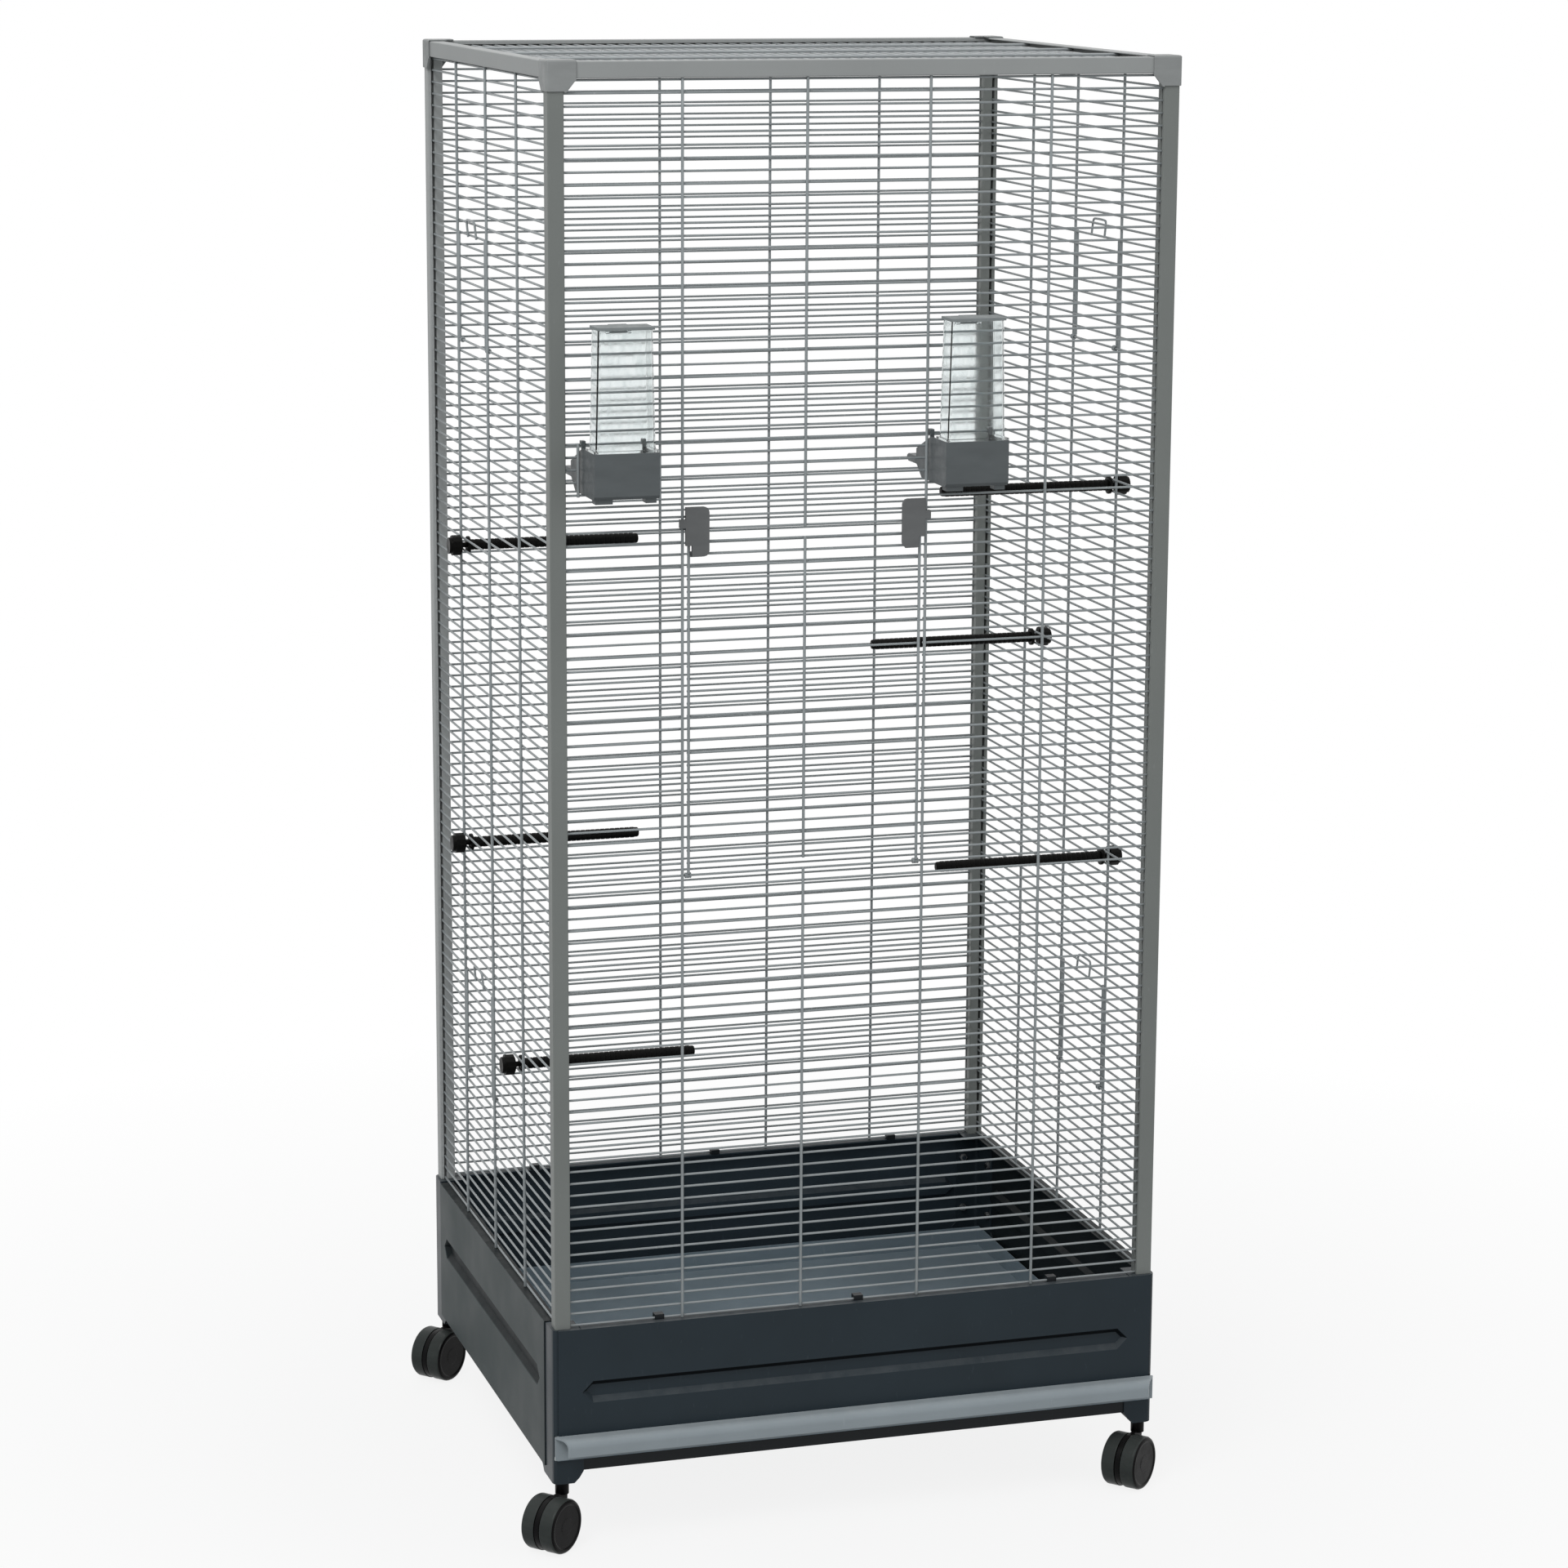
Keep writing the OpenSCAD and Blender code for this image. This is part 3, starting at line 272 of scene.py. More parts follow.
# moulded plastic: spark-eroded grain, faint flow marks and handling shine
def buildPlasticGroup():
    tree, entry, leave = newGroup("mouldedPlastic", [
        ("Colour", "NodeSocketColor", (0.1, 0.1, 0.1, 1)),
        ("Flow Amount", "NodeSocketFloat", 0.1),
        ("Grain Size", "NodeSocketFloat", 2200.0),
        ("Grain Height", "NodeSocketFloat", 0.25),
        ("Shiny", "NodeSocketFloat", 0.35),
        ("Matt", "NodeSocketFloat", 0.6),
        ("Dust Amount", "NodeSocketFloat", 0.1),
    ], [("Colour", "NodeSocketColor"), ("Roughness", "NodeSocketFloat"), ("Normal", "NodeSocketVector")])
    link = tree.links.new
    coords = addNode(tree, "ShaderNodeTexCoord", -1100, -300).outputs["Object"]
    flow = noiseAt(tree, coords, plasticDetail["flowScale"], 4, -850, 200, squeeze=plasticDetail["flowStretch"])
    shade = addNode(tree, "ShaderNodeMath", -600, 250, operation="MULTIPLY_ADD")
    link(spread(tree, flow, -1.0, 1.0, -750, 350), shade.inputs[0])
    link(entry.outputs["Flow Amount"], shade.inputs[1])
    shade.inputs[2].default_value = 1.0
    toned = addNode(tree, "ShaderNodeVectorMath", -400, 250, operation="SCALE")
    link(entry.outputs["Colour"], toned.inputs[0])
    link(shade.outputs[0], toned.inputs["Scale"])
    facing = addNode(tree, "ShaderNodeSeparateXYZ", -850, -650)
    link(addNode(tree, "ShaderNodeNewGeometry", -1100, -650).outputs["Normal"], facing.inputs[0])
    upward = spread(tree, facing.outputs["Z"], 0.0, entry.outputs["Dust Amount"], -600, -650,
                    *plasticDetail["dustBand"])
    dusted = mixColours(tree, upward, toned.outputs[0], plasticDetail["dustColour"], 100, 100)
    link(dusted, leave.inputs["Colour"])
    worn = noiseAt(tree, coords, plasticDetail["wearScale"], 3, -850, -50)
    link(spread(tree, worn, entry.outputs["Shiny"], entry.outputs["Matt"], -300, -100), leave.inputs["Roughness"])
    grain = noiseAt(tree, coords, entry.outputs["Grain Size"], 1, -850, -300)
    bump = addNode(tree, "ShaderNodeBump", 100, -250)
    bump.inputs["Distance"].default_value = plasticDetail["grainDepth"]
    link(entry.outputs["Grain Height"], bump.inputs["Strength"])
    link(grain, bump.inputs["Height"])
    link(bump.outputs["Normal"], leave.inputs["Normal"])
    return tree


# painted shade: a darker colour below the sheet's outer face, in the rib's recess and on the inside
def buildRecessShadeGroup():
    tree, entry, leave = newGroup("recessShadeSheet", [
        ("Colour", "NodeSocketColor", (0.1, 0.1, 0.1, 1)),
        ("Recess Colour", "NodeSocketColor", (0.05, 0.05, 0.05, 1)),
        ("Along", "NodeSocketVector", (1, 0, 0)),
        ("Outer Face", "NodeSocketFloat", 0.3),
    ], [("Colour", "NodeSocketColor")])
    across = addNode(tree, "ShaderNodeVectorMath", -800, 0, operation="DOT_PRODUCT")
    tree.links.new(addNode(tree, "ShaderNodeTexCoord", -1100, -300).outputs["Object"], across.inputs[0])
    tree.links.new(entry.outputs["Along"], across.inputs[1])
    reach = addNode(tree, "ShaderNodeMath", -600, 0, operation="ABSOLUTE")
    tree.links.new(across.outputs["Value"], reach.inputs[0])
    depth = addNode(tree, "ShaderNodeMath", -400, 0, operation="SUBTRACT")
    tree.links.new(entry.outputs["Outer Face"], depth.inputs[0])
    tree.links.new(reach.outputs[0], depth.inputs[1])
    rimDepth, insideDepth = 0.0003, 0.0009        # the rounded edge still counts as outside
    recessShadeMask = spread(tree, depth.outputs[0], 0.0, 1.0, -200, 0, rimDepth, insideDepth)
    tree.links.new(mixColours(tree, recessShadeMask, entry.outputs["Colour"], entry.outputs["Recess Colour"], 100, 0),
                   leave.inputs["Colour"])
    return tree


paintGroup = buildPaintGroup()
plasticGroup = buildPlasticGroup()
recessShadeGroup = buildRecessShadeGroup()


# a material with one effect group before its shader; further values go to the group's inputs of the same name
def finishFrom(name, group, colour, metallic=0.0, specular=0.5, pressed=None, treadColour=None, **values):
    material = bpy.data.materials.new(name)
    material.use_nodes = True
    tree = material.node_tree
    shader = tree.nodes["Principled BSDF"]
    shader.inputs["Metallic"].default_value = metallic
    shader.inputs["Specular IOR Level"].default_value = specular
    effect = addNode(tree, "ShaderNodeGroup", -400, 0, node_tree=group)
    effect.inputs["Colour"].default_value = linearColour(colour)
    for key, value in values.items():
        label = "".join(" " + c if c.isupper() else c for c in key)
        label = label[0].upper() + label[1:]
        effect.inputs[label].default_value = linearColour(value) if isinstance(value, str) else value
    # painted shade in the rib's recess and on the inside of the sheet
    if pressed:
        along, outerFace, recessShadeColour = pressed
        sheet = addNode(tree, "ShaderNodeGroup", -700, 0, node_tree=recessShadeGroup)
        setInputs(sheet, Colour=linearColour(colour), Recess_Colour=linearColour(recessShadeColour), Along=along,
                  Outer_Face=outerFace)
        tree.links.new(sheet.outputs["Colour"], effect.inputs["Colour"])
    # painted highlight: the wheel's rolling faces paler than its flat sides
    if treadColour:
        tread = addNode(tree, "ShaderNodeAttribute", -1000, 0, attribute_name="tread")
        treadHighlighted = mixColours(tree, tread.outputs["Fac"], linearColour(colour), linearColour(treadColour), -700, 0)
        tree.links.new(treadHighlighted, effect.inputs["Colour"])
    tree.links.new(effect.outputs["Colour"], shader.inputs["Base Color"])
    tree.links.new(effect.outputs["Roughness"], shader.inputs["Roughness"])
    tree.links.new(effect.outputs["Normal"], shader.inputs["Normal"])
    material.diffuse_color = linearColour(colour)
    return material


paints = {        # painted shade in recesses: direction across the sheet, place of its outer face, colour of the painted shade on rib and inside
    # the base's one paint as lit and shaded copies: painted shade on the front and legs, painted light on the sides
    # and, less of it, on the back
    "baseDark": dict(colour="#232c32", rubbedColour="#566068", specular=0.14, cloudAmount=0.1, dustAmount=0.09,
                     underShade=0.85, rubbedAmount=0.12, smoothest=0.3, roughest=0.45),
    "baseBack": dict(colour="#2a343b", rubbedColour="#566068", specular=0.14, cloudAmount=0.1, dustAmount=0.09,
                     rubbedAmount=0.12, smoothest=0.3, roughest=0.45),
    "baseSide": dict(colour="#3b4243", rubbedColour="#667072", specular=0.03, cloudAmount=0.08, dustAmount=0.05,
                     rubbedAmount=0.12, pressed=((1, 0, 0), 0.300, "#1b2022")),
    "baseShade": dict(colour="#15191c", rubbedColour="#474f53", specular=0.18, cloudAmount=0.1, dustAmount=0.03,
                      rubbedAmount=0.1),
    "frameTube": dict(colour="#6f7371", rubbedColour="#a0a4a4", specular=0.15, cloudSize=5.0, cloudAmount=0.06,
                      dustAmount=0.06, rubbedAmount=0.15),
    # painted light: the tube paint made paler on the back-left post, whose front face the wires shade
    "paleTube": dict(colour="#949797", rubbedColour="#aeb1b1", specular=0.1, cloudSize=5.0, cloudAmount=0.06,
                     dustAmount=0.06, rubbedAmount=0.15),
    "railGrey": dict(colour="#8b8e8e", rubbedColour="#a9acad", specular=0.07, cloudSize=5.0, cloudAmount=0.05,
                     dustAmount=0.1, rubbedAmount=0.15),
    "wireGrey": dict(colour="#858b8d", rubbedColour="#bcc1c2", specular=0.35, cloudSize=16.0, cloudAmount=0.1,
                     peelSize=1500.0, rubbedAmount=0.35, dustAmount=0.06, smoothest=0.25, roughest=0.42),
    # painted light: the wire paint made paler on the roof, which is lit from above
    "roofWirePaintedLit": dict(colour="#979c9e", rubbedColour="#c4c8c9", specular=0.35, cloudSize=16.0, cloudAmount=0.1,
                         peelSize=1500.0, rubbedAmount=0.35, dustAmount=0.1, smoothest=0.25, roughest=0.42),
    "pullGrey": dict(colour="#828b90", rubbedColour="#a9b1b5", specular=0.25, cloudAmount=0.06, smoothest=0.32,
                     roughest=0.45, rubbedAmount=0.15),
    "trayGrey": dict(colour="#74828b", rubbedColour="#9ba5ab", specular=0.25, cloudAmount=0.1, dustAmount=0.05),
}
plastics = {
    "jointGrey": dict(colour="#828585", specular=0.1, flowAmount=0.05, dustAmount=0.08),
    "latchGrey": dict(colour="#5d5f60", specular=0.25, flowAmount=0.07, shiny=0.4, matt=0.6, dustAmount=0.05),
    "troughGrey": dict(colour="#4f5456", specular=0.25, flowAmount=0.07, shiny=0.32, matt=0.5, dustAmount=0.05),
    "lidGrey": dict(colour="#757b7c", specular=0.25, flowAmount=0.07, dustAmount=0.05),
    "perchBlack": dict(colour="#090908", specular=0.07, flowAmount=0.15, shiny=0.3, matt=0.5, dustAmount=0.02),
    "casterBlack": dict(colour="#050506", specular=0.08, flowAmount=0.12, shiny=0.24, matt=0.42, dustAmount=0.015),
    # the tread colour is a painted highlight on the rolling faces
    "wheelBlack": dict(colour="#060506", treadColour="#303433", specular=0.08, flowAmount=0.15, grainSize=1500.0,
                       grainHeight=0.3, shiny=0.24, matt=0.4, dustAmount=0.015),
}
finishes = {}
for label, values in paints.items():
    finishes[label] = finishFrom(label, paintGroup, **values)
for label, values in plastics.items():
    finishes[label] = finishFrom(label, plasticGroup, **values)
finishes["zinc"] = finishFrom("zinc", paintGroup, "#a9abac", metallic=0.9, rubbedColour="#d8d9da", cloudSize=120.0,
                              cloudAmount=0.2, peelSize=2500.0, smoothest=0.25, roughest=0.45)

hopperPlastic = {
    "bending": 1.3,        # how strongly it bends light
    "clean": "#f6f9f9",
    "scuffed": "#e9efef",
    "edgeOn": "#7d8585",
    "roughness": (0.05, 0.13),
    "scuffScale": 160.0,
    "scuffStretch": (1, 1, 0.3),
    "edgeBand": (0.55, 0.95),        # from clear to edge on
    "waveScale": 45.0,
    "waveHeight": 0.0004,
    "waveStrength": 0.12,
}


# clear plastic of the hoppers: moulded waviness, scuffs that catch light, painted shade on the walls where seen edge
# on
def clearPlastic():
    material = bpy.data.materials.new("clearPlastic")
    material.use_nodes = True
    tree = material.node_tree
    shader = tree.nodes["Principled BSDF"]
    setInputs(shader, Metallic=0.0, IOR=hopperPlastic["bending"], Transmission_Weight=1.0)
    coords = addNode(tree, "ShaderNodeTexCoord", -1000, 0).outputs["Object"]
    scuffs = noiseAt(tree, coords, hopperPlastic["scuffScale"], 4, -700, 100, squeeze=hopperPlastic["scuffStretch"])
    smoothest, roughest = hopperPlastic["roughness"]
    tree.links.new(spread(tree, scuffs, smoothest, roughest, -400, 100, 0.5, 0.75), shader.inputs["Roughness"])
    scuffMask = spread(tree, scuffs, 0.0, 1.0, -600, 300, 0.4, 0.8)
    tint = mixColours(tree, scuffMask, linearColour(hopperPlastic["clean"]), linearColour(hopperPlastic["scuffed"]),
                      -300, 300)
    # painted shade: the walls' colour darker where seen edge on
    edge = addNode(tree, "ShaderNodeLayerWeight", -600, 500)
    edge.inputs["Blend"].default_value = 0.35
    edgeOnShadeMask = spread(tree, edge.outputs["Facing"], 0.0, 1.0, -400, 500, *hopperPlastic["edgeBand"])
    edgeOnShaded = mixColours(tree, edgeOnShadeMask, tint, linearColour(hopperPlastic["edgeOn"]), -100, 400)
    tree.links.new(edgeOnShaded, shader.inputs["Base Color"])
    wave = addNode(tree, "ShaderNodeBump", -300, -200)
    wave.inputs["Distance"].default_value = hopperPlastic["waveHeight"]
    wave.inputs["Strength"].default_value = hopperPlastic["waveStrength"]
    tree.links.new(noiseAt(tree, coords, hopperPlastic["waveScale"], 2, -700, -200), wave.inputs["Height"])
    tree.links.new(wave.outputs["Normal"], shader.inputs["Normal"])
    return material


finishes["clear"] = clearPlastic()
print("finishes ready:", len(finishes))


# wire work

wire = {
    "pitch": 0.0114,        # from one level wire to the next
    "firstRow": 0.0015,        # height of the lowest one above the rim
    "rows": 101,
    "frontColumns": 5,        # fields between the uprights
    "sideColumns": 4,
    "levelRadius": 0.0011,
    "uprightRadius": 0.0014,
    "weld": 0.00035,        # how far crossing wires sink into each other
    "sides": 12,
    "endBevel": 0.0004,
}
uprightY = -(wire["levelRadius"] + wire["uprightRadius"] - wire["weld"])
frontHalf = cage["width"] / 2 - cage["tube"] + cage["groove"] - cage["seat"]
sideHalf = cage["depth"] / 2 - cage["tube"] + cage["groove"] - cage["seat"]
frontColumn = (cage["width"] - cage["tube"]) / wire["frontColumns"]
sideColumn = (cage["depth"] - cage["tube"]) / wire["sideColumns"]
frontUprights = [n * frontColumn for n in (-1.5, -0.5, 0.5, 1.5)]
sideUprights = [n * sideColumn for n in (-1, 0, 1)]
meshHeight = (wire["rows"] - 1) * wire["pitch"] + 2 * wire["firstRow"]
uprightTop = meshHeight + cage["groove"] - cage["seat"]


def rowZ(row):
    return wire["firstRow"] + row * wire["pitch"]


# a wall's own frame: X along the wall, -Y outward, 0 at the rim
def wallFrame(side):
    turns = {"front": 0, "right": 90, "back": 180, "left": -90}
    reach = (cage["depth"] if side in ("front", "back") else cage["width"]) / 2 - cage["wireIn"]
    lift = Matrix.Translation((0, 0, cage["rimZ"]))
    return lift @ Matrix.Rotation(math.radians(turns[side]), 4, "Z") @ Matrix.Translation((0, -reach, 0))


def addBar(start, end, radius):
    start, end = Vector(start), Vector(end)
    along = end - start
    bpy.ops.mesh.primitive_cylinder_add(vertices=wire["sides"], radius=radius, depth=along.length,
                                        location=(start + end) / 2, rotation=along.to_track_quat("Z", "Y").to_euler())
    bar = bpy.context.object
    for face in bar.data.polygons:
        face.select = len(face.vertices) > 4        # the two ends
    bpy.ops.object.mode_set(mode="EDIT")
    bpy.ops.mesh.bevel(offset=wire["endBevel"], segments=2, affect="EDGES")
    bpy.ops.object.mode_set(mode="OBJECT")
    applyPlace(bar)
    return bar


def levelWires(fromX, toX, firstRow, lastRow):
    bar = addBar((fromX, 0, rowZ(firstRow)), (toX, 0, rowZ(firstRow)), wire["levelRadius"])
    repeatAlong(bar, lastRow - firstRow + 1, (0, 0, wire["pitch"]))
    return bar


def uprightWire(x, fromZ, toZ):
    return addBar((x, uprightY, fromZ), (x, uprightY, toZ), wire["uprightRadius"])


def wirePanel(name, side, stretches, uprights):
    parts = [levelWires(*stretch) for stretch in stretches] + [uprightWire(*upright) for upright in uprights]
    panel = joinAll(name, parts)
    moveMesh(panel, wallFrame(side))
    return panel


feeder = {
    "window": 0.0329,        # from the feeder's middle to the wires beside it
    "centres": {"left": -0.2364, "right": frontUprights[2] + 0.0329},        # from the front's middle
    "rows": (68, 72),        # level wires below and above the window
}
door = {
    "rows": (37, 65),        # level wires below and above the front door
    "gap": 0.0058,        # beside any door, to the panel's uprights
    "startAbove": 1.6,        # an upright's start over the hinge wire, in wire radii
    "loopWidth": 0.006,
    "loopWall": 0.0015,
    "loopGap": 0.0001,
    "loopTurns": 4,
}
hatch = {
    "rows": {"lower": (13, 23), "upper": (77, 87)},        # level wires below and above each side door
    "hookWidth": 0.034,
    "hookHeight": 0.0164,
    "hookLean": 6,        # degrees outward
    "hookBend": 0.004,
    "hookOverlap": 1.4,        # the hook's start below the top wire, in wire radii
}


def frontPanel():
    ur = wire["uprightRadius"]
    half = frontHalf
    left, right = feeder["centres"]["left"], feeder["centres"]["right"]
    low, high = door["rows"]
    winLow, winHigh = feeder["rows"]
    edges = [-half, left - feeder["window"] + ur, left + feeder["window"] - ur,
             right - feeder["window"] + ur, right + feeder["window"] - ur, half]
    stretches = [(-half, half, 0, low), (-half, frontUprights[0] + ur, low + 1, high - 1),
                 (frontUprights[2] - ur, half, low + 1, high - 1), (-half, half, high, winLow),
                 (-half, half, winHigh, wire["rows"] - 1)]
    stretches += [(edges[i], edges[i + 1], winLow + 1, winHigh - 1) for i in (0, 2, 4)]
    uprights = [(frontUprights[i], cage["seat"], uprightTop) for i in (0, 2, 3)]
    uprights += [(frontUprights[1], cage["seat"], rowZ(low) + ur), (frontUprights[1], rowZ(high) - ur, uprightTop)]
    for x in (left - feeder["window"], left + feeder["window"], right + feeder["window"]):
        uprights.append((x, rowZ(winLow) - ur, rowZ(winHigh) + ur))
    panel = wirePanel("frontWires", "front", stretches, uprights)
    dress(panel, "cage", ["front_mesh"], finishes["wireGrey"], smoothBelow["wire"])


def backPanel():
    uprights = [(x, cage["seat"], uprightTop) for x in frontUprights]
    panel = wirePanel("backWires", "back", [(-frontHalf, frontHalf, 0, wire["rows"] - 1)], uprights)
    dress(panel, "cage", ["back_mesh"], finishes["wireGrey"], smoothBelow["wire"])


def sidePanel(side):
    ur = wire["uprightRadius"]
    half = sideHalf
    stretches, start = [], 0
    for low, high in hatch["rows"].values():
        stretches += [(-half, half, start, low), (-half, sideUprights[0] + ur, low + 1, high - 1),
                      (sideUprights[1] - ur, half, low + 1, high - 1)]
        start = high
    stretches.append((-half, half, start, wire["rows"] - 1))
    uprights = [(x, cage["seat"], uprightTop) for x in sideUprights]
    panel = wirePanel(side + "Wires", side, stretches, uprights)
    dress(panel, "cage", [side + "_mesh"], finishes["wireGrey"], smoothBelow["wire"])


def roofPanel():
    span = cage["width"] - 2 * cage["tube"]
    gaps = math.floor(span / wire["pitch"]) - 1
    z = cage["rimZ"] + meshHeight + cage["tube"] - cage["wireIn"]
    x = -gaps / 2 * wire["pitch"]
    closeWires = addBar((x, -sideHalf, z), (x, sideHalf, z), wire["levelRadius"])
    repeatAlong(closeWires, gaps + 1, (wire["pitch"], 0, 0))
    crossWires = [addBar((-frontHalf, y, z - uprightY), (frontHalf, y, z - uprightY), wire["uprightRadius"])
                  for y in sideUprights]
    roof = joinAll("roofWires", [closeWires] + crossWires)
    dress(roof, "cage", ["top_mesh"], finishes["roofWirePaintedLit"], smoothBelow["wire"])


# wound hinge loop round a level wire: close turns of thin wire
def hingeLoop(x, z):
    turnRadius = door["loopWall"] / 2
    ringRadius = wire["levelRadius"] + door["loopGap"] + turnRadius
    step = (door["loopWidth"] - 2 * turnRadius) / (door["loopTurns"] - 1)
    bpy.ops.mesh.primitive_torus_add(major_radius=ringRadius, minor_radius=turnRadius, major_segments=24,
                                     minor_segments=8, location=(x - door["loopWidth"] / 2 + turnRadius, 0, z),
                                     rotation=(0, math.pi / 2, 0))
    loop = bpy.context.object
    applyPlace(loop)
    repeatAlong(loop, door["loopTurns"], (step, 0, 0))
    return loop


# round wire through given corners, each bent on a small radius
def bentWire(corners, radius, bend, fullness=0.3):
    points = [Vector(corners[0])]
    for before, here, after in zip(corners, corners[1:], corners[2:]):
        here = Vector(here)
        back, ahead = (Vector(before) - here).normalized(), (Vector(after) - here).normalized()
        points += [here + back * bend, here + (back + ahead) * bend * fullness, here + ahead * bend]
    points.append(Vector(corners[-1]))
    curve = bpy.data.curves.new("bentWire", "CURVE")
    curve.dimensions = "3D"
    curve.bevel_depth = radius
    curve.bevel_resolution = 2
    curve.use_fill_caps = True
    spline = curve.splines.new("NURBS")
    spline.points.add(len(points) - 1)
    for slotPoint, point in zip(spline.points, points):
        slotPoint.co = (*point, 1)
    spline.use_endpoint_u = True
    spline.order_u = 3
    spline.resolution_u = 6
    made = bpy.data.objects.new("bentWire", curve)
    bpy.context.collection.objects.link(made)
    makeActive(made)
    bpy.ops.object.convert(target="MESH")
    return bpy.context.object


def doorWires(left, right, low, high, middles):
    lr = wire["levelRadius"]
    fromX, toX = left + door["gap"], right - door["gap"]
    parts = [levelWires(fromX - lr, toX + lr, low + 1, high - 1)]
    for x in (fromX, toX):
        parts.append(uprightWire(x, rowZ(low) + door["startAbove"] * lr, rowZ(high - 1) + lr))
        parts.append(hingeLoop(x, rowZ(low)))
    for x in middles:
        parts.append(uprightWire(x, rowZ(low + 1) - lr, rowZ(high - 1) + lr))
    return parts


def frontDoor():
    low, high = door["rows"]
    parts = doorWires(frontUprights[0], frontUprights[2], low, high, [frontUprights[1]])
    made = moveMesh(joinAll("frontDoorWires", parts), wallFrame("front"))
    dress(made, "front_door", ["front_door"], finishes["wireGrey"], smoothBelow["wire"])


def sideHatch(side, level):
    low, high = hatch["rows"][level]
    lr = wire["levelRadius"]
    parts = doorWires(sideUprights[0], sideUprights[1], low, high, [])
    middle = (sideUprights[0] + sideUprights[1]) / 2
    halfHook = hatch["hookWidth"] / 2
    lean = math.radians(hatch["hookLean"])
    baseY, baseZ = -(2 * lr - wire["weld"]), rowZ(high - 1)
    topY, topZ = baseY - hatch["hookHeight"] * math.sin(lean), baseZ + hatch["hookHeight"] * math.cos(lean) - lr
    startZ = baseZ - hatch["hookOverlap"] * lr
    parts.append(bentWire([(middle - halfHook, baseY, startZ), (middle - halfHook, topY, topZ),
                           (middle + halfHook, topY, topZ), (middle + halfHook, baseY, startZ)],
                          lr, hatch["hookBend"]))
    made = moveMesh(joinAll("%sHatch_%s" % (side, level), parts), wallFrame(side))
    node = "%s_door_%s" % (side, level)
    dress(made, node, [node], finishes["wireGrey"], smoothBelow["wire"])


frontPanel()
backPanel()
sidePanel("left")
sidePanel("right")
roofPanel()
frontDoor()
for side in ("left", "right"):
    for level in hatch["rows"]:
        sideHatch(side, level)
print("wire work ready")


# perches: a ribbed rod with a flange against the wires and a stud through them

perch = {
    "sides": 32,
    "seat": 0.0002,        # between the flange and the wires
    "radius": 0.0053,
    "coreRadius": 0.0049,
    "tipRadius": 0.0047,
    "ribStep": 0.005,
    "ribLength": 0.0044,
    "ribs": 33,
    "length": 0.172,
    "flange": (0.0085, 0.003),        # radius and thickness
    "stud": (0.0025, 0.01495),        # radius and reach outward
    "tipLength": 0.005,
    "rounding": {"rib": 0.0006, "core": 0.0002, "tip": 0.0015, "stud": 0.0003},
    "places": {        # side, wire below, distance along the side
        "left_top": ("left", 59, 0.009 - sideColumn), "left_middle": ("left", 33, 0.009 - sideColumn),
        "left_bottom": ("left", 18, 0.092), "right_top": ("right", 65, 0.007 - sideColumn),
        "right_middle": ("right", 49, 0.09), "right_bottom": ("right", 33, 0.007 - sideColumn),
    },
}


# cylinder along Y with its two rims rounded
def turnedPart(fromY, toY, radius, rounding):
    bpy.ops.mesh.primitive_cylinder_add(vertices=perch["sides"], radius=radius, depth=toY - fromY,
                                        location=(0, (fromY + toY) / 2, 0), rotation=(math.pi / 2, 0, 0))
    part = bpy.context.object
    for face in part.data.polygons:
        face.select = len(face.vertices) > 4        # the two ends
    bpy.ops.object.mode_set(mode="EDIT")
    bpy.ops.mesh.bevel(offset=rounding, segments=2, affect="EDGES")
    bpy.ops.object.mode_set(mode="OBJECT")
    applyPlace(part)
    return part


def perchRod():
    start = wire["levelRadius"] + perch["seat"]
    flangeRadius, flangeThick = perch["flange"]
    studRadius, studReach = perch["stud"]
    rounding = perch["rounding"]
    ribStart, end = start + flangeThick, start + perch["length"]
    rib = turnedPart(ribStart, ribStart + perch["ribLength"], perch["radius"], rounding["rib"])
    repeatAlong(rib, perch["ribs"], (0, perch["ribStep"], 0))
    return joinAll("perchRod", [        # the parts reach 0.5 to 2 mm into each other
        turnedPart(start, ribStart, flangeRadius, rounding["rib"]), rib,
        turnedPart(ribStart - 0.0005, end - 0.003, perch["coreRadius"], rounding["core"]),
        turnedPart(end - perch["tipLength"], end, perch["tipRadius"], rounding["tip"]),
        turnedPart(start - studReach, start + 0.001, studRadius, rounding["stud"]),
    ])


rodModel = perchRod()
for label, (side, row, along) in perch["places"].items():
    rod = rodModel.copy()
    rod.data = rodModel.data.copy()
    rod.name = "perchRod_" + label
    bpy.context.collection.objects.link(rod)
    moveMesh(rod, wallFrame(side) @ Matrix.Translation((along, 0, rowZ(row) + wire["pitch"] / 2)))
    dress(rod, "cage", ["perch_" + label], finishes["perchBlack"], smoothBelow["moulded"])
makeActive(rodModel)
bpy.ops.object.delete()
print("perches ready:", len(perch["places"]))


# CAD forms with their edges rounded over, as folded sheet or moulded plastic

def roundedCopy(node, name, width, segments=2, angle=28):
    source = cadNodes[node]
    made = source.copy()
    made.data = source.data.copy()
    made.name = name
    made.data.name = name
    made.parent = None
    bpy.context.collection.objects.link(made)
    made.matrix_world = Matrix.Identity(4)
    makeActive(made)
    bpy.ops.object.mode_set(mode="EDIT")
    bpy.ops.mesh.select_all(action="SELECT")
    bpy.ops.mesh.remove_doubles(threshold=0.00001)
    bpy.ops.mesh.dissolve_limited(angle_limit=math.radians(1))
    bpy.ops.object.mode_set(mode="OBJECT")
    if made.data.has_custom_normals:
        bpy.ops.mesh.customdata_custom_splitnormals_clear()
    addModifier(made, "roundOver", "BEVEL", width=width, segments=segments, limit_method="ANGLE",
                angle_limit=math.radians(angle), use_clamp_overlap=True)
    return made


